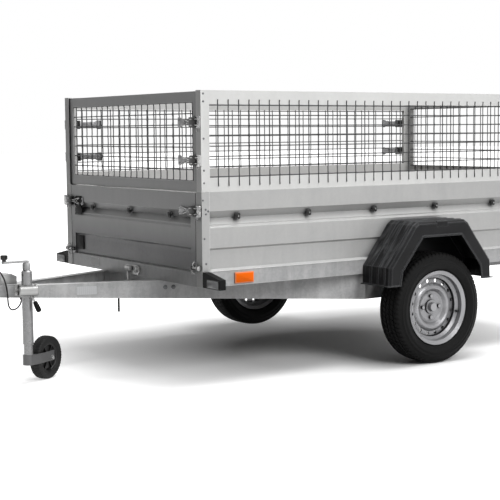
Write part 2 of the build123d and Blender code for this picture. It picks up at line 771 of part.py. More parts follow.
clamp_plane = Plane(origin=(jockey_x, jockey_y, clamp_low),
                    x_dir=(-cos(radians(beam_turn)), sin(radians(beam_turn)), 0), z_dir=(0, 0, 1))
lever_out = 32
lever_start = Vector(jockey_x + lever_out * sin(radians(beam_turn)) - 10,
                     jockey_y + lever_out * cos(radians(beam_turn)), 427)
lever_run = Vector(-36, 25, -98)
lever_rod = 5
lever_grip = 8
grip_start = 60
grip_end = 103

with BuildPart() as jockey_clamp:
    with BuildSketch(clamp_plane):
        with Locations((0, jockey_outset - clamp_foot_thick / 2)):
            Rectangle(clamp_foot, clamp_foot_thick)
        with Locations((0, (jockey_outset - clamp_foot_thick) / 2)):
            Rectangle(clamp_neck, jockey_outset - clamp_foot_thick)
        Circle(clamp_ring)
        Circle(outer_tube + slide_gap, mode=Mode.SUBTRACT)
    extrude(amount=clamp_high - clamp_low)
    with BuildSketch(Plane(origin=lever_start, z_dir=lever_run)):
        Circle(lever_rod)
    extrude(amount=grip_start)
    with BuildSketch(Plane(origin=lever_start, z_dir=lever_run).offset(grip_start)):
        Circle(lever_grip)
    extrude(amount=grip_end - grip_start)
save(jockey_clamp, "jockey_clamp")

with BuildPart() as jockey_tube:
    with Locations((jockey_x, jockey_y, outer_low)):
        Cylinder(outer_tube, outer_high - outer_low, align=from_base)
    chamfer(jockey_tube.edges().sort_by(Axis.Z)[-1], 7)
    with Locations((jockey_x, jockey_y, outer_high)):
        Cylinder(stem_radius, stem_top - outer_high, align=from_base)
    with Locations((jockey_x, jockey_y, outer_low)):
        Cylinder(inner_tube + inner_tube_gap, outer_high - outer_low - tube_cap, align=from_base,
                 mode=Mode.SUBTRACT)
save(jockey_tube, "jockey_tube")

inner_top = outer_high - inner_tube_drop
with BuildPart() as jockey_inner_tube:
    with Locations((jockey_x, jockey_y, fork_high + slide_gap)):
        Cylinder(inner_tube, inner_top - fork_high, align=from_base)
        Cylinder(swivel_pin + pin_gap, swivel_bore, align=from_base, mode=Mode.SUBTRACT)
save(jockey_inner_tube, "jockey_inner_tube")

crank_reach = 106
crank_wide = 22
crank_thick = 6
knob_radius = 17
with BuildPart() as jockey_crank:
    with BuildSketch(Plane.XY.offset(stem_top)):
        with Locations((jockey_x + crank_reach / 2, jockey_y)):
            SlotOverall(crank_reach + crank_wide, crank_wide)
    extrude(amount=crank_thick)
    with BuildSketch(Plane.XY.offset(stem_top + crank_thick)):
        with Locations((jockey_x + crank_reach, jockey_y)):
            Circle(knob_radius * 0.45)
    extrude(amount=14)
    with BuildSketch(Plane.XY.offset(stem_top + crank_thick + 14)):
        with Locations((jockey_x + crank_reach, jockey_y)):
            Circle(knob_radius)
    extrude(amount=24, taper=12)
save(jockey_crank, "jockey_crank")

fork_plane = Plane(origin=(jockey_x, jockey_y, 0),
                   x_dir=(-cos(radians(jockey_yaw)), -sin(radians(jockey_yaw)), 0), z_dir=(0, 0, 1))
wheel_centre = fork_plane.from_local_coords(Vector(jockey_trail, 0, jockey_wheel_radius))
wheel_side = Vector(sin(radians(jockey_yaw)), -cos(radians(jockey_yaw)), 0)
wheel_plane = Plane(origin=wheel_centre, x_dir=(0, 0, 1), z_dir=wheel_side)

with BuildPart() as jockey_fork:
    arm_outer = fork_inner + fork_skin
    arm_end = jockey_trail + fork_tip
    with BuildSketch(fork_plane.offset(fork_low)):
        Polygon([(0, fork_collar), (fork_splay, arm_outer), (arm_end, arm_outer),
                 (arm_end, -arm_outer), (fork_splay, -arm_outer), (0, -fork_collar)], align=None)
        Polygon([(fork_collar, fork_collar - fork_skin), (fork_splay + 2, fork_inner),
                 (arm_end, fork_inner), (arm_end, -fork_inner),
                 (fork_splay + 2, -fork_inner), (fork_collar, fork_skin - fork_collar)],
                align=None, mode=Mode.SUBTRACT)
        Circle(fork_collar)
    extrude(amount=fork_high - fork_low)
    with BuildSketch(fork_plane.offset(fork_high)):
        Circle(swivel_pin)
    extrude(amount=swivel_pin_high)
    with BuildSketch(wheel_plane):
        Circle(axle_bolt)
    extrude(amount=fork_inner + fork_skin + 6, both=True)
save(jockey_fork, "jockey_fork")

# Half section of the jockey wheel: radius, half width.
jockey_section = [(axle_bolt + pin_gap, 25), (24, 25), (30, 15), (62, 15), (68, 23), (92, 25), (100, 17)]
section_plane = Plane(origin=wheel_centre, x_dir=(0, 0, 1), z_dir=wheel_side.cross(Vector(0, 0, 1)))
with BuildPart() as jockey_wheel:
    with BuildSketch(section_plane):
        Polygon(jockey_section + [(r, -w) for r, w in jockey_section[::-1]], align=None)
    revolve(axis=Axis(wheel_centre, wheel_side))
save(jockey_wheel, "jockey_wheel")

# ================================================================ tipping lock
lock_y = 30
lock_wide = 140
lock_low = 451
lock_high = 496
lock_plate = 4
keeper_wide = 46
keeper_high = 24
keeper_deep = 22
keeper_drop = 16          # top of the lock's plate to the middle of the keeper
keeper_offset = 20        # middle of the plate to the middle of the keeper
with BuildPart() as tip_lock:
    with BuildSketch(Plane.YZ.offset(front_x - plate)):
        with Locations((lock_y, (lock_low + lock_high) / 2)):
            Rectangle(lock_wide, lock_high - lock_low)
    extrude(amount=lock_plate)
    with BuildSketch(Plane.YZ.offset(front_x - plate + lock_plate)):
        with Locations((lock_y - keeper_offset, lock_high - keeper_drop)):
            Rectangle(keeper_wide, keeper_high)
    extrude(amount=keeper_deep)
save(tip_lock, "tip_lock")

rod_x = front_x + 14
rod_radius = 6
rod_y = lock_y - keeper_offset
rod_foot_high = 18
rod_foot_drop = 40        # top of the cross-member to the underside of the rod's foot
rod_foot_wide = 34
rod_foot_back = front_x - 13
rod_foot_front = rod_x + 9
rod_low = cross_top - rod_foot_drop + rod_foot_high
rod_top = lock_high - keeper_drop - keeper_high / 2 - swing_gap
with BuildPart() as lock_rod:
    with BuildSketch(Plane.XY.offset(cross_top - rod_foot_drop)):
        with Locations(((rod_foot_back + rod_foot_front) / 2, rod_y)):
            Rectangle(rod_foot_front - rod_foot_back, rod_foot_wide)
    extrude(amount=rod_foot_high)
    with Locations((rod_x, rod_y, rod_low)):
        Cylinder(rod_radius, rod_top - rod_low, align=from_base)
save(lock_rod, "lock_rod")

# ================================================================ rope hooks
hook_head_wide = 15
hook_head_high = 28
hook_stem = 4
hook_seat = 17.2
hook_ends = 187.5
hook_count = 6
end_hook_pitch = 385
hook_pitch = (box_length - 2 * hook_ends) / (hook_count - 1)

with BuildPart() as side_hooks:
    for hand in left_right:
        places = [(front_x - hook_ends - step * hook_pitch, hook_height) for step in range(hook_count)]
        with BuildSketch(Plane.XZ.offset(-hand * (side_y - hook_seat))):
            with Locations(places):
                Circle(hook_stem)
        extrude(amount=-hand * (hook_seat - 4))
        with BuildSketch(Plane.XZ.offset(-hand * (side_y - 4))):
            with Locations(places):
                SlotOverall(hook_head_high, hook_head_wide, rotation=90)
        extrude(amount=-hand * 5)
save(side_hooks, "side_hooks")

for name, end_x, back in (("front_hooks", front_x, -1), ("tailgate_hooks", rear_x, 1)):
    places = [(y, hook_height) for y in (-end_hook_pitch, 0, end_hook_pitch)]
    with BuildPart() as end_hooks:
        with BuildSketch(Plane.YZ.offset(end_x + back * hook_seat)):
            with Locations(places):
                Circle(hook_stem)
        extrude(amount=-back * (hook_seat - 4))
        with BuildSketch(Plane.YZ.offset(end_x + back * 4)):
            with Locations(places):
                SlotOverall(hook_head_high, hook_head_wide, rotation=90)
        extrude(amount=-back * 5)
    save(end_hooks, name)

# ================================================================ latches
flap_latch_z = hook_height + 27
mesh_latch_heights = (mesh_top - 139, mesh_top - 307)
latch_plate = 4
block_inner = 85          # corner of the box to the inner side of a latch's block
block_outer = 33
block_high = 44
block_deep = 24
hook_past = 6             # hook of a flap's latch past the corner of the box
hook_high = 52
hook_deep = 12
flap_plate_inner = 192
flap_plate_high = 40
mesh_plate_inner = 205
mesh_plate_high = 46
mesh_hook_wide = 56       # hook over the end frame, where the latch itself lies on the side frame


def waisted(outer, inner, high):
    """Outline of a latch's waisted base plate: distances from the corner, heights about its middle."""
    half = [(outer, high * 0.45), (outer + 25, high * 0.3), (inner - 40, high * 0.3), (inner - 18, high / 2),
            (inner, high / 2)]
    return half + [(inset, -rise) for inset, rise in half[::-1]]


for name, end_x, out in (("front_latches", front_x, 1), ("tailgate_latches", rear_x, -1)):
    with BuildPart() as latches:
        for hand in left_right:
            with BuildSketch(Plane.YZ.offset(end_x)):
                Polygon([(hand * (side_y - inset), flap_latch_z + rise) for inset, rise in waisted(
                    block_inner - 10, flap_plate_inner, flap_plate_high)], align=None)
            extrude(amount=out * latch_plate)
            for outer, inner, tall, start, deep in ((block_outer, block_inner, block_high, 1, block_deep),
                                                    (-hook_past, block_outer + 2, hook_high, 3, hook_deep)):
                with BuildSketch(Plane.YZ.offset(end_x + out * start)):
                    with Locations((hand * (side_y - (outer + inner) / 2), flap_latch_z)):
                        Rectangle(inner - outer, tall)
                extrude(amount=out * deep)
    save(latches, name)

# Latches of the mesh frames lie on the end frame at the left corners and on the side frame at the right ones.
mesh_hook_outer_y = side_frame_outer_y + block_deep
mesh_hook_inner_y = side_y - mesh_hook_wide
with BuildPart() as mesh_latches:
    for end_x, back in ends:
        for height in mesh_latch_heights:
            face_x = end_x + back * end_frame_setback
            with BuildSketch(Plane.YZ.offset(face_x)):
                Polygon([(side_y - inset, height + rise) for inset, rise in waisted(
                    block_inner - 10, mesh_plate_inner, mesh_plate_high)], align=None)
            extrude(amount=-back * latch_plate)
            with BuildSketch(Plane.YZ.offset(face_x)):
                with Locations((side_y - (corner_strip + block_inner) / 2, height)):
                    Rectangle(block_inner - corner_strip, block_high)
            extrude(amount=-back * (end_frame_setback + block_deep))
            with BuildSketch(Plane.YZ.offset(end_x)):
                with Locations((side_y - corner_strip / 2, height)):
                    Rectangle(corner_strip, hook_high)
            extrude(amount=-back * hook_deep)
            with BuildSketch(Plane.XZ.offset(side_frame_outer_y + wire + wire_gap)):
                Polygon([(end_x + back * inset, height + rise) for inset, rise in waisted(
                    block_inner - 10, mesh_plate_inner, mesh_plate_high)], align=None)
            extrude(amount=latch_plate)
            with BuildSketch(Plane.XZ.offset(side_frame_outer_y)):
                with Locations((end_x + back * (plate + block_inner) / 2, height)):
                    Rectangle(block_inner - plate, block_high)
            extrude(amount=block_deep)
            with BuildSketch(Plane.YZ.offset(end_x)):
                with Locations((-(mesh_hook_outer_y + mesh_hook_inner_y) / 2, height)):
                    Rectangle(mesh_hook_outer_y - mesh_hook_inner_y, block_high)
            extrude(amount=-back * hook_deep)
save(mesh_latches, "mesh_latches")

# ================================================================ lamps and reflectors
lamp_deep = 32
lamp_out = 138            # box side to the outer end of a front lamp
lamp_top_wide = 20
lamp_low = sill_bottom + 2
lamp_outer_high = 44
lens_wide = 92
lens_high = 34
lens_inset = 8            # outer end and bottom of the lamp to the lens
lens_thick = 3
lens_y = side_y + lamp_out - lens_inset - lens_wide / 2
lens_z = lamp_low + lens_inset / 2 + lens_high / 2
with BuildPart() as front_lamps:
    for hand in left_right:
        with BuildSketch(Plane.YZ.offset(front_x)):
            Polygon([(hand * (side_y + out), z) for out, z in (
                (0, sill_top), (lamp_top_wide, sill_top), (lamp_out, lamp_low + lamp_outer_high),
                (lamp_out, lamp_low), (0, lamp_low))], align=None)
        extrude(amount=-lamp_deep)
save(front_lamps, "front_lamps")

with BuildPart() as front_lenses:
    with BuildSketch(Plane.YZ.offset(front_x)):
        with Locations([(hand * lens_y, lens_z) for hand in left_right]):
            RectangleRounded(lens_wide, lens_high, 5)
    extrude(amount=lens_thick)
save(front_lenses, "front_lenses")

reflector_setback = 220
reflector_wide = 102
reflector_high = 50
reflector_thick = 8
reflector_z = sill_bottom + 33
with BuildPart() as side_reflectors:
    for hand in left_right:
        with BuildSketch(Plane.XZ.offset(-hand * sill_outer_y)):
            with Locations((front_x - reflector_setback, reflector_z)):
                RectangleRounded(reflector_wide, reflector_high, 4)
        extrude(amount=-hand * reflector_thick)
save(side_reflectors, "side_reflectors")

rear_lamp_inset = 165     # box side to the middle of a rear lamp
rear_lamp_wide = 220
rear_lamp_high = 60
rear_lamp_deep = 36
rear_lens_rim = 4
rear_lamp_z = (sill_bottom + end_sill_top) / 2
rear_lamp_places = [(hand * (side_y - rear_lamp_inset), rear_lamp_z) for hand in left_right]
with BuildPart() as rear_lamps:
    with BuildSketch(Plane.YZ.offset(rear_x + plate)):
        with Locations(rear_lamp_places):
            RectangleRounded(rear_lamp_wide, rear_lamp_high, 8)
    extrude(amount=-rear_lamp_deep)
save(rear_lamps, "rear_lamps")

with BuildPart() as rear_lenses:
    with BuildSketch(Plane.YZ.offset(rear_x + plate - rear_lamp_deep)):
        with Locations(rear_lamp_places):
            RectangleRounded(rear_lamp_wide - 2 * rear_lens_rim, rear_lamp_high - 2 * rear_lens_rim, 6)
    extrude(amount=rear_lamp_deep - plate - tail_reach)
save(rear_lenses, "rear_lenses")

# ================================================================ trailer cable
cable_radius = 3.5
gland_radius = 8
plug_reach = beam_tip_reach + 50
plug_y = 66
holder_low = 462
holder_thick = 4
holder_arm_wide = 52
plug_radius = 21.5
plug_flange = 26          # radius of the plug's flange and of the holder's ring
plug_low = 430
plug_body_high = 70
plug_neck = 14
plug_neck_top = 530

# Places along the cable: ahead of the front wall, to the left, height.
cable_route = [(588, 56, 378), (592, 59, 364), (603, 65, 351), (618, 70.5, 341), (633, 73, 336),
               (646, 73, 338.5), (655, 71.8, 349), (658.5, 70.5, 364), (659.5, 69.5, 386), (660, 68, 413),
               (664, 66, 446), (672, 62.5, 480), (687, 57.5, 508), (704, 56, 533), (723, 57.5, 554),
               (743, 60, 565), (757, 62.5, 563), (766.5, 64.5, 554), (plug_reach, plug_y, 542.5),
               (plug_reach, plug_y, plug_neck_top)]
cable_points = [Vector(front_x + reach, y, z) for reach, y, z in cable_route]
cable_radii = []
for before, here, after in zip(cable_points, cable_points[1:], cable_points[2:]):
    run_in = here - before
    run_out = after - here
    half_turn = radians(run_in.get_angle(run_out)) / 2
    cable_radii.append(0.45 * min(run_in.length, run_out.length) / tan(half_turn))

with BuildPart() as cable:
    with BuildLine() as cable_line:
        FilletPolyline(cable_points, radius=cable_radii)
    with BuildSketch(Plane(origin=cable_points[0], z_dir=cable_points[1] - cable_points[0])):
        Circle(cable_radius)
    sweep(path=cable_line.wires()[0])
save(cable, "cable")
print("cable length", round(cable_line.wires()[0].length))

gland_top = beam_top - beam_tip_depth - beam_rise * (tip_x - cable_points[0].X)
cable_start = cable_points[0]
gland_run = cable_points[0] - cable_points[1]
with BuildPart() as cable_gland:
    with BuildSketch(Plane(origin=cable_start, z_dir=gland_run)):
        Circle(gland_radius)
    extrude(amount=40)
    with BuildSketch(Plane.XY.offset(gland_top - 0.6)):
        with Locations((cable_start.X, cable_start.Y)):
            Rectangle(200, 200)
    extrude(amount=100, mode=Mode.SUBTRACT)
save(cable_gland, "cable_gland")

with BuildPart() as plug_holder:
    with BuildSketch(Plane.XY.offset(holder_low)):
        with Locations((front_x + plug_reach, (stem_wide / 2 + plug_y) / 2)):
            Rectangle(holder_arm_wide, plug_y - stem_wide / 2)
        with Locations((front_x + plug_reach, plug_y)):
            Circle(plug_flange)
            Circle(plug_radius + 0.2, mode=Mode.SUBTRACT)
    extrude(amount=holder_thick)
save(plug_holder, "plug_holder")

with BuildPart() as cable_plug:
    with BuildSketch(Plane.XY.offset(plug_low)):
        with Locations((front_x + plug_reach, plug_y)):
            Circle(plug_radius)
    extrude(amount=plug_body_high)
    with BuildSketch(Plane.XY.offset(holder_low + holder_thick)):
        with Locations((front_x + plug_reach, plug_y)):
            Circle(plug_flange)
    extrude(amount=8)
    with BuildSketch(Plane.XY.offset(plug_low + plug_body_high)):
        with Locations((front_x + plug_reach, plug_y)):
            Circle(plug_neck)
    extrude(amount=plug_neck_top - plug_low - plug_body_high, taper=14)
save(cable_plug, "cable_plug")

strap_x = front_x + 172
strap_wide = 9
strap_low = 303
strap_top = beam_top - beam_tip_depth - beam_rise * (tip_x - strap_x + strap_wide / 2) - 0.1
with BuildPart() as hanging_strap:
    with BuildSketch(Plane.XY.offset(strap_low)):
        with Locations((strap_x, beam_tip_y + beam_slope * (tip_x - strap_x) - beam_flange / 2)):
            RectangleRounded(strap_wide, strap_wide, 3)
    extrude(amount=strap_top - strap_low)
save(hanging_strap, "hanging_strap")
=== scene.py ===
"""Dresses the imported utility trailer: studio, camera, finishes and the fine pieces that ride on its bodies.

Metres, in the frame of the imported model: +X towards the coupling, +Y to the left, +Z up.
"""
import json
from math import cos, pi, radians, sin

import bmesh
import bpy
from mathutils import Matrix, Vector


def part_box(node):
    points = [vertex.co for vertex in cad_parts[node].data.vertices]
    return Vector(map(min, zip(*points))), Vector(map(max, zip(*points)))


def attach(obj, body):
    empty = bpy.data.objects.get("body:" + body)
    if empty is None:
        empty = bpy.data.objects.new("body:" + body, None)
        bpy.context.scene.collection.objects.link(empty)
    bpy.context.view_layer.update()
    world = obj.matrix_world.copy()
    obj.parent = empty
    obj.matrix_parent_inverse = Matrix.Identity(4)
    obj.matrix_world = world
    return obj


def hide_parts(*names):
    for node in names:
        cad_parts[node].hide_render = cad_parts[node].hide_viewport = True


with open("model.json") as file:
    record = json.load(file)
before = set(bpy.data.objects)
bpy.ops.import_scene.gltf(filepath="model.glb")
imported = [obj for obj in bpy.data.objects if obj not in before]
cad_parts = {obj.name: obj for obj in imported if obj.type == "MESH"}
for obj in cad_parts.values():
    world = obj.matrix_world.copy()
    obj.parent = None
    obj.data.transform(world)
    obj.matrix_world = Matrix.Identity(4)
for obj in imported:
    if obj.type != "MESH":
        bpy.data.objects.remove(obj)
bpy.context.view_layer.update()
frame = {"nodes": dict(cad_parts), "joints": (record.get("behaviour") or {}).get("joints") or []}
scene = bpy.context.scene


def placed(place, *axes):
    """A place with its three axes."""
    return Matrix.Translation(place) @ Matrix(axes).transposed().to_4x4()


# ---- camera
CAMERA_PLACE = Vector((3.6239, 5.3571, 1.1266))
CAMERA_YAW = radians(235.49)
CAMERA_PITCH = radians(5.17)      # downwards
CAMERA_ROLL = radians(-0.47)
FOCAL_PIXELS = 1260.8
MIDDLE_PIXEL = (261.65, 246.06)
PICTURE_SIDE = 500
SENSOR = 36.0
FAR_CLIP = 200

forward = Vector((
    cos(CAMERA_YAW) * cos(CAMERA_PITCH),
    sin(CAMERA_YAW) * cos(CAMERA_PITCH),
    -sin(CAMERA_PITCH)))
level_right = forward.cross(Vector((0, 0, 1))).normalized()
level_up = level_right.cross(forward)
right = cos(CAMERA_ROLL) * level_right + sin(CAMERA_ROLL) * level_up
up = -sin(CAMERA_ROLL) * level_right + cos(CAMERA_ROLL) * level_up

camera_data = bpy.data.cameras.new("camera")
camera_data.sensor_width = SENSOR
camera_data.lens = FOCAL_PIXELS * SENSOR / PICTURE_SIDE
camera_data.shift_x = (PICTURE_SIDE / 2 - MIDDLE_PIXEL[0]) / PICTURE_SIDE
camera_data.shift_y = (MIDDLE_PIXEL[1] - PICTURE_SIDE / 2) / PICTURE_SIDE
camera_data.clip_end = FAR_CLIP
camera = bpy.data.objects.new("camera", camera_data)
camera.matrix_world = placed(CAMERA_PLACE, right, up, -forward)
scene.collection.objects.link(camera)
scene.camera = camera
scene.view_settings.view_transform = "Standard"


# ---- node helpers
def add_node(tree, kind, inputs=None, **settings):
    """A node of a tree with its settings and inputs. An input is a value or another node's output."""
    node = tree.nodes.new("ShaderNode" + kind)
    for key, value in settings.items():
        setattr(node, key, value)
    for key, value in (inputs or {}).items():
        if isinstance(value, bpy.types.NodeSocket):
            tree.links.new(value, node.inputs[key])
        else:
            node.inputs[key].default_value = value
    return node


def new_material(name):
    """An empty node material, its tree, its output node and the object's own coordinates."""
    material = bpy.data.materials.new(name)
    material.use_nodes = True
    tree = material.node_tree
    tree.nodes.clear()
    output = add_node(tree, "OutputMaterial")
    where = add_node(tree, "TexCoord").outputs["Object"]
    return material, tree, output, where


def shade(tree, output, sockets):
    """Gives a material its surface, from what goes on the shader's sockets."""
    surface = add_node(tree, "BsdfPrincipled", sockets)
    tree.links.new(surface.outputs[0], output.inputs[0])


def noise(tree, where, scale, detail=3.0, roughness=0.5, distortion=0.0):
    """Noise between 0 and 1 at the given number of cells a metre."""
    node = add_node(tree, "TexNoise", {
        "Vector": where, "Scale": scale, "Detail": detail, "Roughness": roughness, "Distortion": distortion})
    return node.outputs["Fac"]


def mapped(tree, value, low, high, out_low=0.0, out_high=1.0):
    """A value moved from one range into another, held inside it."""
    node = add_node(tree, "MapRange", {
        "Value": value, "From Min": low, "From Max": high, "To Min": out_low, "To Max": out_high})
    return node.outputs["Result"]


def worked(tree, operation, first, second):
    """The sum, product or other result of two values."""
    node = add_node(tree, "Math", {0: first, 1: second}, operation=operation)
    return node.outputs["Value"]


def on_vectors(tree, operation, first, second, result="Value"):
    """The same on two vectors."""
    node = add_node(tree, "VectorMath", {0: first, 1: second}, operation=operation)
    return node.outputs[result]


def stretched(tree, where, factors):
    """Coordinates multiplied along each axis."""
    return on_vectors(tree, "MULTIPLY", where, factors, "Vector")


def cells(tree, where, scale, result):
    """Scattered cells: the colour of each, or the distance from its middle."""
    node = add_node(tree, "TexVoronoi", {"Vector": where, "Scale": scale}, feature="F1")
    return node.outputs[result]


def mixed(tree, factor, first, second):
    """A colour between two colours."""
    node = add_node(tree, "Mix", data_type="RGBA")
    for key, value in ((0, factor), (6, first), (7, second)):
        if isinstance(value, bpy.types.NodeSocket):
            tree.links.new(value, node.inputs[key])
        else:
            node.inputs[key].default_value = value if key == 0 else (*value, 1)
    return node.outputs[2]


def bumped(tree, height, strength, distance):
    """A normal from a height value."""
    node = add_node(tree, "Bump", {"Height": height, "Strength": strength, "Distance": distance})
    return node.outputs["Normal"]


def part_of(tree, vector, axis):
    """One axis of a vector."""
    return add_node(tree, "SeparateXYZ", {0: vector}).outputs[axis]


def face_normal(tree):
    """The surface's own normal, without its bump."""
    return add_node(tree, "NewGeometry").outputs["Normal"]


def edges_of(tree, radius, low, high):
    """1 along the edges and folds of a surface, 0 on its faces."""
    rounded = add_node(tree, "Bevel", {"Radius": radius}, samples=4)
    agree = on_vectors(tree, "DOT_PRODUCT", rounded.outputs["Normal"], face_normal(tree))
    return mapped(tree, agree, 1 - low, 1 - high)


def open_to_air(tree, reach, low, high):
    """0 deep in a hollow or beside another part, 1 out in the open: the mask of painted shade."""
    node = add_node(tree, "AmbientOcclusion", {"Distance": reach}, samples=6)
    return mapped(tree, node.outputs["AO"], low, high)


# ---- finishes
EDGE_RADIUS = 0.0035
# Patterns of the finishes, in cells a metre or as a stretch of the coordinates.
CRYSTALS = 95.0
ZINC_CLOUDS = 5.5
ZINC_GRAIN = 620
DRIPS = (22, 22, 3.5)
PLASTIC_CLOUDS = 9
REFLECTION_STREAKS = (5, 34, 7)
BOARD_GRAIN = (2.0, 30, 30)
BOARD_PATTERN = 260.0
PRISMS = 330.0


def zinc(name, light, dark, metallic, rough, spangle, streak, grain, edge_highlight, hollow_shade, foot_shade):
    """Zinc coating: crystals of slightly different greys, clouds, drips and a fine grain.
    Its last three arguments paint light and shade into its colour: a highlight colour along its folds and
    edges; shade in its hollows and beside other parts, as a colour, a reach and the open shares between which
    it ends; and shade towards its foot, as a colour and the heights between which it ends."""
    material, tree, output, where = new_material(name)
    crystal = add_node(tree, "SeparateColor", {0: cells(tree, where, CRYSTALS, "Color")}).outputs["Red"]
    clouds = noise(tree, where, ZINC_CLOUDS, 6, 0.6, 0.4)
    drips = noise(tree, stretched(tree, where, DRIPS), 1.0, 4, 0.6, 0.3)
    fine = noise(tree, where, ZINC_GRAIN, 2)
    tone = worked(tree, "ADD", mapped(tree, crystal, 0, 1, -spangle, spangle),
                  mapped(tree, clouds, 0.25, 0.75, 0.5 - streak, 0.5 + streak))
    tone = worked(tree, "ADD", tone, mapped(tree, drips, 0.3, 0.7, -streak * 0.6, streak * 0.6))
    tone = worked(tree, "ADD", tone, mapped(tree, fine, 0.3, 0.7, -grain, grain))
    rough_map = worked(tree, "ADD", mapped(tree, crystal, 0, 1, -0.05, 0.05),
                       mapped(tree, clouds, 0.2, 0.8, rough - 0.05, rough + 0.07))
    colour = mixed(tree, tone, dark, light)
    # Painted highlight along the folds and edges.
    if edge_highlight:
        colour = mixed(tree, edges_of(tree, EDGE_RADIUS, 0.02, 0.25), colour, edge_highlight)
    # Painted shade, darker towards the foot.
    if foot_shade:
        foot_shade_colour, low, high = foot_shade
        above = mapped(tree, part_of(tree, where, "Z"), low, high)
        colour = mixed(tree, above, foot_shade_colour, colour)
    # Painted shade, darker in hollows and beside other parts.
    if hollow_shade:
        hollow_shade_colour, reach, low, high = hollow_shade
        colour = mixed(tree, open_to_air(tree, reach, low, high), hollow_shade_colour, colour)
    shade(tree, output, {"Base Color": colour, "Metallic": metallic, "Roughness": rough_map,
                         "Normal": bumped(tree, fine, 0.12, 0.0004)})
    return material


def plastic(name, dark, light, rough, grain_scale, bump, specular, edge_highlight, painted_reflection):
    """Moulded plastic or rubber: a fine grain, faint clouds of wear and dust.
    Its last two arguments paint light into its colour: a highlight colour along its edges, and the colour of
    reflections painted in streaks where it doesn't face sideways."""
    material, tree, output, where = new_material(name)
    clouds = noise(tree, where, PLASTIC_CLOUDS, 5, 0.6, 0.3)
    fine = noise(tree, where, grain_scale, 2)
    colour = mixed(tree, mapped(tree, clouds, 0.3, 0.75), dark, light)
    # Painted reflection: light streaks on the faces that don't look sideways.
    if painted_reflection:
        reflection_streaks = noise(tree, stretched(tree, where, REFLECTION_STREAKS), 1.0, 4, 0.65, 0.8)
        sideways = add_node(tree, "Math", {0: part_of(tree, face_normal(tree), "Y")},
                            operation="ABSOLUTE").outputs["Value"]
        reflection_mask = worked(tree, "MULTIPLY", mapped(tree, reflection_streaks, 0.48, 0.72),
                      mapped(tree, sideways, 0.25, 0.75, 1.0, 0.0))
        colour = mixed(tree, reflection_mask, colour, painted_reflection)
    # Painted highlight along the edges.
    if edge_highlight:
        colour = mixed(tree, edges_of(tree, 3 * EDGE_RADIUS, 0.015, 0.20), colour, edge_highlight)
    shade(tree, output, {
        "Base Color": colour, "Roughness": mapped(tree, clouds, 0.25, 0.75, rough - 0.06, rough + 0.08),
        "Specular IOR Level": specular, "Normal": bumped(tree, fine, bump, 0.0005)})
    return material


def board(name, dark, light):
    """Coated plywood: long grain under a brown film."""
    material, tree, output, where = new_material(name)
    grain = noise(tree, stretched(tree, where, BOARD_GRAIN), 2.0, 6, 0.65, 1.2)
    pattern = cells(tree, where, BOARD_PATTERN, "Distance")
    shade(tree, output, {
        "Base Color": mixed(tree, grain, dark, light), "Roughness": mapped(tree, grain, 0.2, 0.8, 0.42, 0.6),
        "Normal": bumped(tree, pattern, 0.25, 0.0006)})
    return material


def lens(name, deep, bright, specular, coat):
    """A moulded lens: small prisms under a smooth, glossy face."""
    material, tree, output, where = new_material(name)
    prisms = add_node(tree, "TexVoronoi", {"Vector": where, "Scale": PRISMS, "Randomness": 0.0},
                      feature="F1", distance="CHEBYCHEV").outputs["Distance"]
    tone = mapped(tree, prisms, 0.1, 0.6, 1, 0)
    shade(tree, output, {
        "Base Color": mixed(tree, tone, deep, bright), "Roughness": mapped(tree, tone, 0, 1, 0.16, 0.26),
        "Specular IOR Level": specular, "Coat Weight": coat, "Coat Roughness": 0.05,
        "Normal": bumped(tree, prisms, 0.2, 0.0008)})
    return material


# Zinc by finish: material's name, light and dark colour, metallic, roughness, spangle, streak, grain.
ZINC = {
    "sheet": ("sheet_zinc", (0.51, 0.51, 0.50), (0.41, 0.41, 0.41), 0.10, 0.42, 0.08, 0.24, 0.10),
    # Painted shade: a darker copy of the sheet for the front flap and front mesh frame.
    "painted_shade_front_sheet": ("front_sheet_zinc", (0.46, 0.46, 0.46), (0.37, 0.37, 0.372), 0.10, 0.42, 0.08, 0.24,
                    0.10),
    # Painted light: a lighter copy of the sheet for the near side's mesh frame.
    "painted_light_rail_sheet": ("rail_painted_light_zinc", (0.72, 0.72, 0.71), (0.62, 0.62, 0.61), 0.10, 0.42, 0.08, 0.24, 0.10),
    # Painted light: a lighter copy of the dipped zinc for the drawbar's beams.
    "beam": ("beam_painted_light_zinc", (0.62, 0.62, 0.62), (0.38, 0.382, 0.386), 0.10, 0.42, 0.14, 0.55, 0.08),
    "dipped": ("dipped_zinc", (0.50, 0.50, 0.50), (0.33, 0.332, 0.336), 0.10, 0.42, 0.14, 0.48, 0.08),
    # Painted shade: a darker copy of the dipped zinc for the end sills.
    "painted_shade_end_dipped": ("end_painted_shade_zinc", (0.42, 0.42, 0.42), (0.27, 0.272, 0.276), 0.10, 0.42, 0.14, 0.40, 0.08),
    "dull": ("dull_zinc", (0.20, 0.205, 0.21), (0.12, 0.125, 0.13), 0.30, 0.52, 0.16, 0.50, 0.08),
    "bright": ("bright_zinc", (0.50, 0.50, 0.49), (0.40, 0.40, 0.40), 0.45, 0.33, 0.01, 0.06, 0.02),
    "latch": ("latch_zinc", (0.62, 0.62, 0.61), (0.16, 0.16, 0.165), 0.70, 0.26, 0.30, 0.45, 0.10),
    "tube": ("tube_zinc", (0.29, 0.29, 0.29), (0.24, 0.24, 0.245), 0.45, 0.30, 0.01, 0.06, 0.02),
    "fork": ("fork_zinc", (0.15, 0.15, 0.152), (0.11, 0.11, 0.112), 0.35, 0.36, 0.03, 0.10, 0.04),
    "lock": ("lock_zinc", (0.34, 0.34, 0.345), (0.16, 0.16, 0.165), 0.45, 0.36, 0.30, 0.40, 0.10),
    "rim": ("rim_silver", (0.34, 0.34, 0.35), (0.28, 0.28, 0.29), 0.50, 0.32, 0.02, 0.12, 0.12),
    "wire": ("wire_grey", (0.075, 0.076, 0.078), (0.034, 0.035, 0.036), 0.30, 0.48, 0.10, 0.35, 0.10),
}
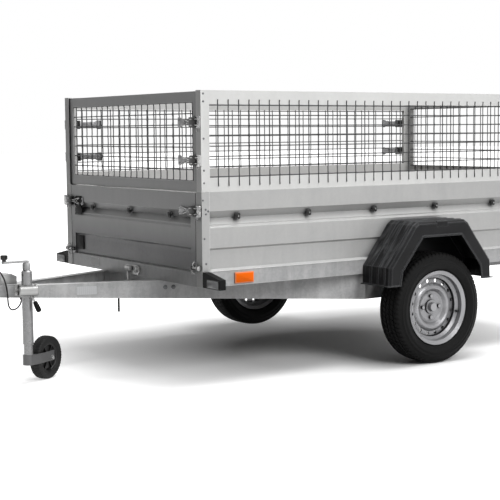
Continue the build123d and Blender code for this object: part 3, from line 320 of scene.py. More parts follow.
# Plastic by finish: material's name, dark and light colour, roughness, cells of its grain, bump, specular.
PLASTIC = {
    "plate": ("blank_plate", (0.86, 0.86, 0.85), (0.94, 0.94, 0.93), 0.45, 300, 0.0, 0.5),
    "fender": ("fender_plastic", (0.003, 0.003, 0.0035), (0.009, 0.009, 0.010), 0.36, 900, 0.30, 0.15),
    "black": ("black_plastic", (0.005, 0.005, 0.005), (0.012, 0.012, 0.012), 0.36, 700, 0.12, 0.35),
    "rubber": ("black_rubber", (0.006, 0.006, 0.006), (0.014, 0.014, 0.014), 0.60, 500, 0.25, 0.30),
    "tyre": ("tyre_rubber", (0.003, 0.003, 0.003), (0.009, 0.009, 0.009), 0.62, 420, 0.35, 0.11),
}
# Lenses by finish: material's name, deep and bright colour, specular, coat.
LENSES = {
    "orange": ("orange_lens", (0.92, 0.120, 0.0), (1.0, 0.185, 0.0), 0.10, 0.02),
    "amber_rim": ("amber_rim", (0.85, 0.24, 0.09), (0.95, 0.34, 0.15), 0.22, 0.05),
    "red": ("red_lens", (0.28, 0.004, 0.004), (0.55, 0.02, 0.012), 0.22, 0.05),
    "clear": ("clear_lens", (0.70, 0.71, 0.72), (0.88, 0.89, 0.90), 0.22, 0.05),
    "reflector": ("lamp_reflector", (0.62, 0.63, 0.64), (0.85, 0.86, 0.87), 0.22, 0.05),
}
# Painted highlight along the folds and edges: its colour.
PAINTED_EDGE_HIGHLIGHT = {
    "sheet": (0.72, 0.72, 0.71), "painted_shade_front_sheet": (0.66, 0.66, 0.65), "painted_light_rail_sheet": (0.80, 0.80, 0.79),
    "beam": (0.66, 0.66, 0.66), "dipped": (0.70, 0.70, 0.70), "painted_shade_end_dipped": (0.52, 0.52, 0.52),
    "fender": (0.085, 0.087, 0.090)}
# Painted shade in hollows and beside other parts: colour, reach, open shares between which it ends.
PAINTED_HOLLOW_SHADE = {
    "sheet": ((0.08, 0.08, 0.082), 0.06, 0.35, 0.85),
    "painted_shade_front_sheet": ((0.03, 0.03, 0.032), 0.07, 0.40, 0.93),
    "bright": ((0.10, 0.10, 0.10), 0.02, 0.35, 0.90),
    "rim": ((0.012, 0.012, 0.013), 0.045, 0.40, 0.97),
    "wire": ((0.006, 0.006, 0.006), 0.009, 0.62, 0.92)}
# Painted shade, darker towards the foot: colour, heights between which it ends.
PAINTED_FOOT_SHADE = {"painted_shade_front_sheet": ((0.105, 0.105, 0.108), 0.59, 0.71)}
# Painted reflection on the fender: the colour of its light streaks.
PAINTED_REFLECTION = {"fender": (0.070, 0.071, 0.074)}

materials = {"board": board("floor_board", (0.10, 0.085, 0.072), (0.20, 0.175, 0.15))}
for finish, row in ZINC.items():
    materials[finish] = zinc(*row, PAINTED_EDGE_HIGHLIGHT.get(finish), PAINTED_HOLLOW_SHADE.get(finish), PAINTED_FOOT_SHADE.get(finish))
for finish, row in PLASTIC.items():
    materials[finish] = plastic(*row, PAINTED_EDGE_HIGHLIGHT.get(finish), PAINTED_REFLECTION.get(finish))
for finish, row in LENSES.items():
    materials[finish] = lens(*row)

# Solids by finish.
NODE_FINISH = {
    "sheet": ("side_panel_left", "side_panel_right", "corner_posts", "tailgate", "mesh_frame_rear",
              "mesh_frame_right"),
    "painted_shade_front_sheet": ("front_flap", "mesh_frame_front"),
    "painted_light_rail_sheet": ("mesh_frame_left",),
    "beam": ("drawbar_left", "drawbar_right"),
    "dipped": ("drawbar_cross", "nose_plate", "side_sills", "tip_rails"),
    "painted_shade_end_dipped": ("end_sills",),
    "dull": ("axle_beam", "swing_arms", "floor_bearers"),
    "bright": ("flap_hinges", "tip_lock", "lock_rod", "coupling_head", "jockey_clamp", "jockey_crank",
               "plug_holder", "front_latches", "tailgate_latches", "mesh_latches"),
    "tube": ("jockey_tube", "jockey_inner_tube"),
    "fork": ("jockey_fork",),
    "wire": ("mesh_wires_left", "mesh_wires_right", "mesh_wires_front", "mesh_wires_rear"),
    "board": ("floor_panel",),
    "fender": ("fender_left", "fender_right"),
    "black": ("side_hooks", "front_hooks", "tailgate_hooks", "coupling_handle", "cable_plug"),
    "rubber": ("cable", "cable_gland", "hanging_strap"),
    "tyre": ("tyre_left", "tyre_right", "jockey_wheel", "front_lamps", "rear_lamps"),
    "rim": ("rim_left", "rim_right", "hub_left", "hub_right"),
    "orange": ("side_reflectors",),
    "red": ("rear_lenses",),
    "clear": ("front_lenses",),
}
for finish, nodes in NODE_FINISH.items():
    for node in nodes:
        shown = frame["nodes"][node]
        shown.data.materials.clear()
        shown.data.materials.append(materials[finish])


# ---- shapes
def span(node):
    """Lowest and highest corner of a node's box."""
    low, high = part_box(node)
    return Vector(low), Vector(high)


def middle_of(node):
    """Middle of a node's box."""
    low, high = span(node)
    return (low + high) / 2


def upright(x, y, z, outward):
    """A place on a wall: local Z points outward, local Y up the wall."""
    z_axis = Vector(outward).normalized()
    x_axis = Vector((0, 0, 1)).cross(z_axis).normalized()
    y_axis = z_axis.cross(x_axis)
    return placed((x, y, z), x_axis, y_axis, z_axis)


def moved(at, x, y, z):
    """A place moved along its own axes."""
    return at @ Matrix.Translation((x, y, z))


def lifted(at, height):
    """A place moved out along its own Z."""
    return moved(at, 0, 0, height)


def turns(count):
    """Angles evenly spaced round a full turn."""
    return [2 * pi * i / count for i in range(count)]


def neighbours(items, closed=True):
    """Each item with the next, and the last with the first if closed."""
    pairs = list(zip(items, items[1:]))
    return pairs + [(items[-1], items[0])] if closed else pairs


def mirrored(half):
    """An outline or profile from its half, which comes back with the second value's sign changed."""
    return [*half, *((first, -second) for first, second in half[::-1])]


def rectangle(wide, high, middle_x=0.0, middle_y=0.0):
    """Outline of a rectangle about its middle."""
    return [(middle_x + i * wide / 2, middle_y + j * high / 2)
            for i, j in ((-1, -1), (1, -1), (1, 1), (-1, 1))]


def round_rectangle(wide, high, radius, middle_x=0.0, steps=4):
    """Outline of a rectangle with round corners about its middle."""
    return [(middle_x + i * (wide / 2 - radius) + radius * cos(turn + quarter),
             j * (high / 2 - radius) + radius * sin(turn + quarter))
            for i, j, turn in ((1, 1, 0), (-1, 1, pi / 2), (-1, -1, pi), (1, -1, 3 * pi / 2))
            for quarter in (pi / 2 * step / steps for step in range(steps + 1))]


def polygon(radius, sides):
    """Outline of a regular polygon."""
    return [(radius * cos(a), radius * sin(a)) for a in turns(sides)]


def add_slab(bm, at, wide, high, radius, depth, bevel=0.0, middle_x=0.0, steps=4):
    """A plate with round corners about its middle."""
    add_prism(bm, round_rectangle(wide, high, radius, middle_x, steps), depth, at, bevel)


def slot_outline(length, wide, sides=8):
    """Outline of a strip with round ends, from its first end's middle at the origin along local X."""
    angles = [pi / 2 + pi * i / sides for i in range(sides + 1)]
    first = [(wide / 2 * cos(a), wide / 2 * sin(a)) for a in angles]
    return first + [(length - x, -y) for x, y in first]


def loop(middle, across, along, count):
    """Points of a closed loop about its middle, from its two half axes."""
    return [Vector(middle) + cos(a) * Vector(across) + sin(a) * Vector(along) for a in turns(count)]


def add_prism(bm, outline, depth, at=Matrix(), bevel=0.0):
    """A plate: a closed outline in local XY, depth thick along local Z, its edges bevelled."""
    corners = [bm.verts.new(at @ Vector((x, y, 0))) for x, y in outline]
    face = bm.faces.new(corners)
    made = bmesh.ops.extrude_face_region(bm, geom=[face])["geom"]
    raised = [item for item in made if isinstance(item, bmesh.types.BMVert)]
    bmesh.ops.translate(bm, verts=raised, vec=at.to_3x3() @ Vector((0, 0, depth)))
    if bevel:
        edges = list(dict.fromkeys(edge for vertex in corners + raised for edge in vertex.link_edges))
        bmesh.ops.bevel(bm, geom=edges, offset=bevel, segments=2, profile=0.5, affect="EDGES")


def bridge(bm, low, high):
    """Faces between two closed rings of vertices, of which either may be a single point."""
    for i, j in neighbours(range(max(len(low), len(high)))):
        corners = [low[i], low[j]] if len(low) > 1 else [low[0]]
        corners += [high[j], high[i]] if len(high) > 1 else [high[0]]
        if len(corners) > 2:
            bm.faces.new(corners)


def add_lathe(bm, profile, at, segments=40, closed=False):
    """A turned shape: a profile of (radius, height) along local Z, a single point where the radius is 0."""
    rings = [[bm.verts.new(at @ Vector((radius * cos(a), radius * sin(a), height)))
              for a in (turns(segments) if radius else [0])] for radius, height in profile]
    for low, high in neighbours(rings, closed):
        bridge(bm, low, high)


def add_rod(bm, path, radius, sides=8, closed=False, at=Matrix()):
    """A round rod along a list of points, closed or with flat ends."""
    points = [at @ Vector(point) for point in path]
    count = len(points)
    side = None
    rings = []
    for i, point in enumerate(points):
        before = points[i - 1] if i or closed else points[i]
        after = points[(i + 1) % count] if i + 1 < count or closed else points[i]
        run = (after - before).normalized()
        if side is None:
            side = run.orthogonal().normalized()
        side = (side - side.dot(run) * run).normalized()
        other = run.cross(side)
        rings.append([bm.verts.new(point + radius * (cos(a) * side + sin(a) * other)) for a in turns(sides)])
    if not closed:
        bm.faces.new(rings[0][::-1])
        bm.faces.new(rings[-1])
    for low, high in neighbours(rings, closed):
        bridge(bm, low, high)


def add_tyre(bm, section, lugs, stations, deep, at):
    """A tyre about local Z. Section: radius, distance from the middle, share of a cut's depth, share of a
    lug that it leans. Stations of each lug: share of its length, whether a cut is there."""
    rings = []
    for lug in range(lugs):
        for share, cut_here in stations:
            ring = []
            for radius, out, cut, lean in section:
                angle = 2 * pi * (lug + share + lean) / lugs
                reach = radius - (deep * cut if cut_here else 0)
                ring.append(bm.verts.new(at @ Vector((reach * cos(angle), reach * sin(angle), out))))
            rings.append(ring)
    for low, high in neighbours(rings):
        bridge(bm, low, high)


def finished(name, bm, finish, body, stands_for=(), sharp=38):
    """Turns a bmesh into a piece in its finish that rides on its body."""
    bmesh.ops.recalc_face_normals(bm, faces=bm.faces)
    mesh = bpy.data.meshes.new(name)
    bm.to_mesh(mesh)
    bm.free()
    for face in mesh.polygons:
        face.use_smooth = True
    mesh.set_sharp_from_angle(angle=radians(sharp))
    mesh.materials.append(materials[finish])
    made = bpy.data.objects.new(name, mesh)
    scene.collection.objects.link(made)
    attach(made, body)
    if stands_for:
        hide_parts(*stands_for)


def each(places, thing):
    """One bmesh with the thing made at each place."""
    bm = bmesh.new()
    for at in places:
        thing(bm, at)
    return bm


# ---- cable
CABLE_RADIUS = 0.0035
CABLE_ROUTE = (
    (1.3055, 0.056, 0.378), (1.3095, 0.059, 0.364), (1.3205, 0.065, 0.351), (1.3355, 0.0705, 0.341),
    (1.3505, 0.073, 0.336), (1.3635, 0.073, 0.3385), (1.3725, 0.0718, 0.349), (1.3760, 0.0705, 0.364),
    (1.3770, 0.0695, 0.386), (1.3775, 0.068, 0.413), (1.3815, 0.066, 0.446), (1.3895, 0.0625, 0.480),
    (1.4045, 0.0575, 0.508), (1.4215, 0.056, 0.533), (1.4405, 0.0575, 0.554), (1.4605, 0.060, 0.565),
    (1.4745, 0.0625, 0.563), (1.4840, 0.0645, 0.554), (1.4875, 0.066, 0.5425), (1.4875, 0.066, 0.530))
cable_curve = bpy.data.curves.new("trailer_cable", "CURVE")
cable_curve.dimensions = "3D"
cable_curve.bevel_depth = CABLE_RADIUS
cable_curve.bevel_resolution = 4
cable_curve.resolution_u = 8
cable_curve.use_fill_caps = True
cable_spline = cable_curve.splines.new("NURBS")
cable_spline.points.add(len(CABLE_ROUTE) - 1)
for point, place in zip(cable_spline.points, CABLE_ROUTE):
    point.co = (*place, 1)
cable_spline.order_u = 3
cable_spline.use_endpoint_u = True
cable_curve.materials.append(materials["rubber"])
trailer_cable = bpy.data.objects.new("trailer_cable", cable_curve)
scene.collection.objects.link(trailer_cable)
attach(trailer_cable, "chassis")
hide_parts("cable")

# ---- mesh wires
WIRE = 0.0052
WIRE_SIDES = 6
WIRE_PITCH = 0.055
WIRE_ROWS = 8
WEAVE = 0.0023            # middle plane of the mesh to a wire's middle at a crossing
WIRE_LIFT = 0.0004        # the same between crossings
CRIMP_HALF = 0.011
SIDE_FIRST = 0.04375      # end of a side row to the first upright
END_FIRST = 0.040         # the same on an end
OVERLAP_TOP = 0.020       # uprights past the top row, and on a side a wire's thickness more
OVERLAP_BOTTOM = 0.037    # the same past the lowest row


def even_places(low, high, count):
    """Places from low to high, evenly spaced."""
    return [low + (high - low) * i / (count - 1) for i in range(count)]


def add_woven(bm, start, run, out, crossings, ends):
    """A crimped wire: on its own side of the mesh's middle plane, pushed out a little at each crossing."""
    stations = [(ends[0], WEAVE)]
    for place in crossings:
        stations += [(place - CRIMP_HALF, WIRE_LIFT), (place, WEAVE), (place + CRIMP_HALF, WIRE_LIFT)]
    stations.append((ends[1], WEAVE))
    add_rod(bm, [start + run * place + out * lift for place, lift in stations], WIRE / 2, WIRE_SIDES)


def woven_mesh(node):
    """Crimped uprights and rows that cross each other, in the place of the node's straight wires."""
    low, high = span(node)
    middle = middle_of(node)
    side = high.x - low.x > high.y - low.y
    along = 0 if side else 1
    across = 1 - along
    run = Vector((0, 0, 0))
    run[along] = 1
    out = Vector((0, 0, 0))
    out[across] = 1 if middle[across] > 0 else -1
    row_end = (high - low)[along] / 2
    upright_end = row_end - (SIDE_FIRST if side else END_FIRST)
    uprights = even_places(-upright_end, upright_end, int(2 * upright_end / WIRE_PITCH) + 1)
    row_low = low.z + OVERLAP_BOTTOM + (WIRE if side else 0)
    row_high = high.z - OVERLAP_TOP - (WIRE if side else 0)
    rows = even_places(row_low, row_high, WIRE_ROWS)
    bm = bmesh.new()
    for place in uprights:
        start = Vector((middle.x, middle.y, 0)) + run * place
        add_woven(bm, start, Vector((0, 0, 1)), out, rows, (low.z, high.z))
    for height in rows:
        start = Vector((middle.x, middle.y, height))
        add_woven(bm, start, run, -out, uprights, (-row_end, row_end))
    finished("woven_" + node, bm, "wire", "box", (node,), 60)


for node in ("mesh_wires_left", "mesh_wires_right", "mesh_wires_front", "mesh_wires_rear"):
    woven_mesh(node)

# ---- tyres
TREAD_LUGS = 70
SIPE_DEEP = 0.005
# Stations of one lug: share of its length, whether the sipe is there.
LUG_STATIONS = ((0.0, False), (0.03, True), (0.17, True), (0.20, False))
# Half of a road tyre's section: radius, distance from its middle, share of a sipe's depth, share of a
# lug that it leans.
TYRE_HALF = (
    (0.1662, 0.0470, 0, 0), (0.1840, 0.0565, 0, 0), (0.1860, 0.0598, 0, 0), (0.1905, 0.0630, 0, 0),
    (0.1915, 0.0648, 0, 0), (0.1950, 0.0658, 0, 0), (0.1962, 0.0660, 0, 0), (0.2060, 0.0735, 0, 0),
    (0.2170, 0.0772, 0, 0), (0.2215, 0.0774, 0, 0), (0.2225, 0.0764, 0, 0), (0.2340, 0.0752, 0, 0),
    (0.2350, 0.0760, 0, 0), (0.2375, 0.0755, 0, 0), (0.2385, 0.0742, 0, 0), (0.2500, 0.0705, 0, 0),
    (0.2560, 0.0672, 0.25, 0.4), (0.2610, 0.0640, 1, 0.5), (0.2660, 0.0592, 1, 0.6),
    (0.2676, 0.0560, 1, 0.65), (0.2690, 0.0440, 1, 0.8), (0.2690, 0.0425, 1, 0.8), (0.2628, 0.0418, 0, 0.8),
    (0.2628, 0.0368, 0, 0.8), (0.2694, 0.0360, 1, 0.1), (0.2697, 0.0160, 1, 0.5), (0.2635, 0.0152, 0, 0.5),
    (0.2635, 0.0102, 0, 0.5), (0.2700, 0.0095, 0.7, 0.2), (0.2700, 0.0000, 0.7, 0.5))
ABOUT_Y = Matrix(((1, 0, 0, 0), (0, 0, 1, 0), (0, 1, 0, 0), (0, 0, 0, 1)))      # local Z lies along Y
VALVE_RING = 0.150
VALVE_TURN = radians(-12)
VALVE_LIFT = 0.006
VALVE = ((0.0065, 0), (0.0065, 0.006), (0.0035, 0.009), (0.0035, 0.026), (0.0045, 0.0265), (0.0045, 0.034),
         (0, 0.035))

tyre_section = [*TYRE_HALF, *((radius, -out, cut, -lean) for radius, out, cut, lean in TYRE_HALF[-2::-1])]
for side in ("left", "right"):
    tyre_at = Matrix.Translation(middle_of("tyre_" + side)) @ ABOUT_Y
    bm = bmesh.new()
    add_tyre(bm, tyre_section, TREAD_LUGS, LUG_STATIONS, SIPE_DEEP, tyre_at)
    finished("road_tyre_" + side, bm, "tyre", "wheel_" + side, ("tyre_" + side,), 50)

for side, hand in (("left", 1), ("right", -1)):
    rim_middle = middle_of("rim_" + side)
    facing = upright(rim_middle.x, middle_of("tyre_" + side).y, rim_middle.z, (0, hand, 0))
    valve_at = moved(facing, VALVE_RING * cos(VALVE_TURN), VALVE_RING * sin(VALVE_TURN), VALVE_LIFT)
    bm = bmesh.new()
    add_lathe(bm, VALVE, valve_at, 16)
    finished("valve_" + side, bm, "rubber", "wheel_" + side)

# ---- jockey wheel
JOCKEY_LUGS = 44
JOCKEY_GROOVE = 0.0022
JOCKEY_STATIONS = ((0.0, False), (0.08, True), (0.42, True), (0.50, False))
JOCKEY_LEAN = 18          # lugs that a groove leans in each metre from the middle
# Half of the tyre's section: radius, distance from its middle, share of a groove's depth.
JOCKEY_HALF = (
    (0.0640, 0.0160, 0), (0.0670, 0.0215, 0), (0.0700, 0.0238, 0), (0.0820, 0.0250, 0), (0.0905, 0.0248, 0),
    (0.0945, 0.0236, 0.6), (0.0975, 0.0208, 1), (0.0988, 0.0180, 1), (0.0996, 0.0120, 1),
    (0.1000, 0.0040, 1), (0.0985, 0.0032, 0))
JOCKEY_RIM_HALF = (
    (0.00708, 0.0250), (0.0150, 0.0250), (0.0160, 0.0240), (0.0175, 0.0090), (0.0560, 0.0060),
    (0.0585, 0.0150), (0.0620, 0.0185), (0.0660, 0.0190))
WEB_COUNT = 6
WEB_LONG = 0.046
WEB_WIDE = 0.004
WEB_DEEP = 0.008
WEB_MIDDLE = 0.037
WEB_OUT = 0.0105
jockey_middle = middle_of("jockey_wheel")
jockey_joint = next(joint for joint in frame["joints"] if joint["name"] == "jockey_wheel_spin")
jockey_axis = Vector(jockey_joint["axis"]).normalized()
jockey_frame = upright(*jockey_middle, jockey_axis)

jockey_section = [(radius, out, cut, JOCKEY_LEAN * out) for radius, out, cut in JOCKEY_HALF]
jockey_section += [(radius, -out, cut, lean) for radius, out, cut, lean in jockey_section[::-1]]
bm = bmesh.new()
add_tyre(bm, jockey_section, JOCKEY_LUGS, JOCKEY_STATIONS, JOCKEY_GROOVE, jockey_frame)
finished("jockey_tyre", bm, "rubber", "jockey_wheel", ("jockey_wheel",), 45)

bm = bmesh.new()
add_lathe(bm, mirrored(JOCKEY_RIM_HALF), jockey_frame, 48, closed=True)
for turn in turns(WEB_COUNT):
    for way in (1, -1):
        at = moved(jockey_frame @ Matrix.Rotation(turn, 4, "Z"), WEB_MIDDLE, 0, way * WEB_OUT - WEB_DEEP / 2)
        add_prism(bm, rectangle(WEB_LONG, WEB_WIDE), WEB_DEEP, at, 0.0008)
finished("jockey_rim", bm, "black", "jockey_wheel")

# ---- rivets, bolts and blank plates
posts_low, posts_high = span("corner_posts")
FRONT_X = posts_high.x
REAR_X = posts_low.x
SIDE_Y = posts_high.y
# Ends of the box: name, face, way out along X, body of its flap.
ENDS = (("front", FRONT_X, 1, "front_flap"), ("tailgate", REAR_X, -1, "tailgate"))
RIVET = ((0.0048, 0.0), (0.0048, 0.0006), (0.0040, 0.0018), (0.0022, 0.0027), (0.0, 0.0030))
WASHER = ((0.0105, 0), (0.0105, 0.0012), (0.0097, 0.0018), (0, 0.0018))
WASHER_TOP = 0.0018
NUT_RADIUS = 0.0075
NUT_TOP = 0.0073
THREAD = ((0.0040, 0), (0.0040, 0.0022), (0.0032, 0.0030), (0, 0.0030))
# Rivets: distance in from the end of the box, height.
POST_RIVETS = ((0.0067, 0.8301), (0.0200, 0.7892), (0.0334, 0.7816), (0.0213, 0.7690), (0.0120, 0.6607),
               (0.0200, 0.5500), (0.0200, 0.4700))
STRIP_RIVETS = ((0.020, 1.296), (0.020, 1.262), (0.020, 1.100), (0.020, 0.960), (0.020, 0.905))
STRIP_BACK = 0.010        # face of the mesh frames' corner strips, in from that of the posts


def add_rivet(bm, at):
    """A low domed rivet head."""
    add_lathe(bm, RIVET, at, 14)


def add_bolt(bm, at):
    """A hexagon nut on a washer, with the end of its bolt."""
    add_lathe(bm, WASHER, at, 24)
    add_prism(bm, polygon(NUT_RADIUS, 6), NUT_TOP - WASHER_TOP, lifted(at, WASHER_TOP), 0.0008)
    add_lathe(bm, THREAD, lifted(at, NUT_TOP), 16)


for name, rivets, back in (("post_rivets", POST_RIVETS, 0), ("strip_rivets", STRIP_RIVETS, STRIP_BACK)):
    rivet_places = [upright(end_x - way * inset, hand * (SIDE_Y - back), height, (0, hand, 0))
                    for label, end_x, way, body in ENDS for hand in (1, -1) for inset, height in rivets]
    finished(name, each(rivet_places, add_rivet), "dull", "box")

BEAM_BOLTS = (0.025, 0.061)        # behind the front wall
BEAM_BOLT_HEIGHT = 0.411
TIP_HALF = 0.031                   # middle to a beam's outer face at its tip
BEND_BACK = 0.950                  # front wall to the beams' bend
beam_tip = span("drawbar_left")[1]
beam_slope = (beam_tip.y - TIP_HALF) / (beam_tip.x - FRONT_X + BEND_BACK)
beam_out = Vector((beam_slope, 1, 0)).normalized()
beam_way = Vector((1, -beam_slope, 0)).normalized()


def on_beam(x, height, hand):
    """A place on the outer face of a slanted drawbar beam."""
    face_y = TIP_HALF + beam_slope * (beam_tip.x - x)
    return upright(x, hand * face_y, height, (beam_out.x, hand * beam_out.y, 0))


beam_places = [on_beam(FRONT_X - back, BEAM_BOLT_HEIGHT, hand) for back in BEAM_BOLTS for hand in (1, -1)]
finished("beam_bolts", each(beam_places, add_bolt), "dull", "chassis")

PLATE_THICK = 0.0009
PLATE_CORNER = 0.004
sill_face = span("end_sills")[1].x
# Blank plates: name, place, width, height, finish, body, slot.
PLATES = (
    ("sill_plate", upright(sill_face, -0.367, 0.480, (1, 0, 0)), 0.090, 0.040, "plate", "box",
     "galvanised_dull"),
    ("beam_plate", on_beam(FRONT_X + 0.319, 0.410, 1), 0.092, 0.038, "reflector", "chassis", "lens_white"),
)
for name, at, wide, high, finish, body, slot in PLATES:
    bm = bmesh.new()
    add_slab(bm, at, wide, high, PLATE_CORNER, PLATE_THICK, steps=3)
    finished(name, bm, finish, body)

# ---- rope hooks
HOOK_LONG = 0.034
HOOK_WIDE = 0.0145
HOOK_PLATE = 0.0060
HOOK_SUNK = 0.002         # a hook's place, in from the face of its wall, and its bars' foot in from there
SIDE_HOOKS = 6
SIDE_HOOK_END = 0.1875
HOOK_Z = 0.754
HOOK_Y = (-0.385, 0.0, 0.385)
HOOK_BOSS = ((0.0085, 0.002), (0.0085, 0.005), (0.0070, 0.0075), (0.0040, 0.0088), (0, 0.0092))
HOOK_STEM = ((0, -0.0150), (0.0060, -0.0150), (0.0042, -0.0120), (0.0042, 0.002), (0, 0.002))
HOOK_DOT = ((0, 0.0085), (0.0026, 0.0085), (0.0026, 0.0098), (0.0014, 0.0106), (0, 0.0108))


def add_knob(bm, at):
    """A moulded rope hook: two domed bars crossed on a stem, with a raised boss."""
    length = HOOK_LONG - HOOK_WIDE
    for turn in (pi / 4, -pi / 4):
        turned = moved(at @ Matrix.Rotation(turn, 4, "Z"), -length / 2, 0, -HOOK_SUNK)
        add_prism(bm, slot_outline(length, HOOK_WIDE), HOOK_PLATE, turned, 0.0018)
    add_lathe(bm, HOOK_BOSS, at, 24)
    add_lathe(bm, HOOK_STEM, at, 16)


def add_dot(bm, at):
    """The rivet in the middle of a rope hook."""
    add_lathe(bm, HOOK_DOT, at, 12)


side_places = [upright(x, hand * (SIDE_Y - HOOK_SUNK), HOOK_Z, (0, hand, 0)) for hand in (1, -1)
               for x in even_places(FRONT_X - SIDE_HOOK_END, REAR_X + SIDE_HOOK_END, SIDE_HOOKS)]
finished("side_rope_hooks", each(side_places, add_knob), "black", "box", ("side_hooks",))
# The rivets are real; bright zinc on the sides is a painted highlight on the lit knobs.
finished("side_hook_glint_rivets", each(side_places, add_dot), "bright", "box")
for label, end_x, way, body in ENDS:
    end_places = [upright(end_x - way * HOOK_SUNK, y, HOOK_Z, (way, 0, 0)) for y in HOOK_Y]
    finished(label + "_rope_hooks", each(end_places, add_knob), "black", body,
             (label + "_hooks",))
    # Dull zinc on the ends is painted shade on the same rivets.
    finished(label + "_hook_rivets", each(end_places, add_dot), "dull", body)

# ---- latches
# Distances in from the corner of the box. Toward is the way in.
BLOCK_IN = 0.085
BLOCK_OUT = 0.033
BLOCK_TALL = 0.044
BLOCK_DEEP = 0.024
RIB_DEEP = 0.004          # how much of that depth is left to the ribs
RIB_WIDE = 0.009
RIB_RISE = 0.011
CATCH_TALL = 0.052
CATCH_THICK = 0.0045
CATCH_LIFT = 0.0095
STRAP_RISE = 0.013
STRAP_RADIUS = 0.0022
# Half of the wire lever: distance past the block, rise, lift. Its halves meet at the notch.
LEVER_HALF = ((-0.006, 0.004, 0.014), (0.022, 0.004, 0.012), (0.030, 0.0075, 0.011), (0.072, 0.0155, 0.009),
              (0.078, 0.0135, 0.008))
LEVER_NOTCH = (0.040, 0.0, 0.010)
LEVER_RADIUS = 0.0021
BASE_SKIN = 0.003
BASE_RIVETS = ((-0.012, -0.012), (-0.012, 0.012))      # from the base's inner end, rise
LATCH_Z = HOOK_Z + 0.027
MESH_LATCH_Z = (1.172, 1.004)
END_FRAME_BACK = 0.008    # face of an end's mesh frame, in from the end of the box
SIDE_FRAME_BACK = 0.00525
# Latches of a flap and of the mesh frames: base's inner end, base's height, catch past the corner.
FLAP_LATCH = (0.192, 0.040, 0.006)
MESH_LATCH = (0.205, 0.046, 0.0)


def add_latch_base(bm, at, toward, inner, tall):
    """Waisted base plate of a latch with its rivets."""
    outer = BLOCK_IN - 0.010
    half = [(outer, tall * 0.45), (outer + 0.025, tall * 0.30), (inner - 0.040, tall * 0.30),
            (inner - 0.018, tall * 0.50), (inner - 0.004, tall * 0.50), (inner, tall * 0.38)]
    add_prism(bm, mirrored([(toward * inset, rise) for inset, rise in half]), BASE_SKIN, at, 0.0006)
    rivets = [(inner + inset, rise) for inset, rise in BASE_RIVETS] + [(BLOCK_IN + 0.012, 0.0)]
    for inset, rise in rivets:
        add_rivet(bm, moved(at, toward * inset, rise, BASE_SKIN))


def add_latch_metal(bm, at, toward, over):
    """Catch, straps and wire lever of a latch, and the ring that hangs below its catch."""
    def add_wire(path, radius):
        add_rod(bm, [(toward * inset, rise, lift) for inset, rise, lift in path], radius, at=at)

    top = CATCH_TALL / 2
    half = [(-over, top - 0.004), (0.004 - over, top), (BLOCK_OUT - 0.006, top), (BLOCK_OUT, top - 0.010)]
    add_prism(bm, mirrored([(toward * inset, rise) for inset, rise in half]), CATCH_THICK,
              lifted(at, CATCH_LIFT), 0.0012)
    for rise in (-STRAP_RISE, STRAP_RISE):
        add_wire([(0.003 - over, rise, 0.012), (BLOCK_OUT * 0.5, rise, 0.0165), (BLOCK_OUT, rise, 0.0175),
                  (BLOCK_IN * 0.8, rise, 0.0235)], STRAP_RADIUS)
    lever = [*LEVER_HALF, LEVER_NOTCH, *((past, -rise, lift) for past, rise, lift in LEVER_HALF[::-1])]
    add_wire([(BLOCK_IN + past, rise, lift) for past, rise, lift in lever], LEVER_RADIUS)
    ring = loop((toward * 0.026, -top - 0.004, 0.009), (0.008, 0, 0), (0, 0.010, 0), 16)
    add_rod(bm, ring, 0.0018, closed=True, at=at)


def add_latch_block(bm, at, toward):
    """The dark spring box of a latch, with two pressed ribs."""
    middle = toward * (BLOCK_IN + BLOCK_OUT) / 2
    wide = BLOCK_IN - BLOCK_OUT
    add_prism(bm, rectangle(wide, BLOCK_TALL, middle), BLOCK_DEEP - RIB_DEEP, at, 0.003)
    for rise in (-RIB_RISE, RIB_RISE):
        add_prism(bm, rectangle(wide * 0.8, RIB_WIDE, middle, rise), 0.003,
                  lifted(at, BLOCK_DEEP - RIB_DEEP - 0.0002), 0.001)


def latch_set(name, body, stands_for, places, inner, tall, over):
    """Latches at places, each a matrix and the way in from its corner."""
    bases, metal, blocks = bmesh.new(), bmesh.new(), bmesh.new()
    for at, toward in places:
        add_latch_base(bases, at, toward, inner, tall)
        add_latch_metal(metal, at, toward, over)
        add_latch_block(blocks, at, toward)
    finished(name + "_plates", bases, "lock", body, (stands_for,))
    finished(name + "_metal", metal, "latch", body)
    finished(name + "_boxes", blocks, "black", body)


mesh_places = []
for label, end_x, way, body in ENDS:
    flap_places = [(upright(end_x, hand * SIDE_Y, LATCH_Z, (way, 0, 0)), -hand * way) for hand in (1, -1)]
    latch_set(label + "_latch", body, label + "_latches", flap_places, *FLAP_LATCH)
    for height in MESH_LATCH_Z:
        mesh_places.append((lifted(upright(end_x, SIDE_Y, height, (way, 0, 0)), -END_FRAME_BACK), -way))
        mesh_places.append((upright(end_x, SIDE_FRAME_BACK - SIDE_Y, height, (0, -1, 0)), -way))
latch_set("mesh_latch", "box", "mesh_latches", mesh_places, *MESH_LATCH)

# ---- hinge pins
HINGE_X = 0.009
HINGE_Z = 0.530
RING_IN = 0.043
RING_RADIUS = 0.011
RING_WIRE = 0.0016
RING_OUT = 0.0048         # hinge line out to the ring's middle, so that the ring clears the corner post
RING_RISE = 0.0158        # hinge line up to the ring's middle, so that the ring hangs on the pin
CLIP_WIRE = 0.0018
CLIP = ((0.050, -0.028, 0.002), (0.052, -0.018, 0.011), (0.058, -0.009, 0.0105), (0.066, -0.018, 0.010),
        (0.068, -0.030, 0.004))
PIN_WASHER = ((0.0105, 0), (0.0110, 0.0012), (0.0110, 0.0038), (0.0105, 0.0050), (0, 0.0050))
PIN_WASHER_IN = 0.018


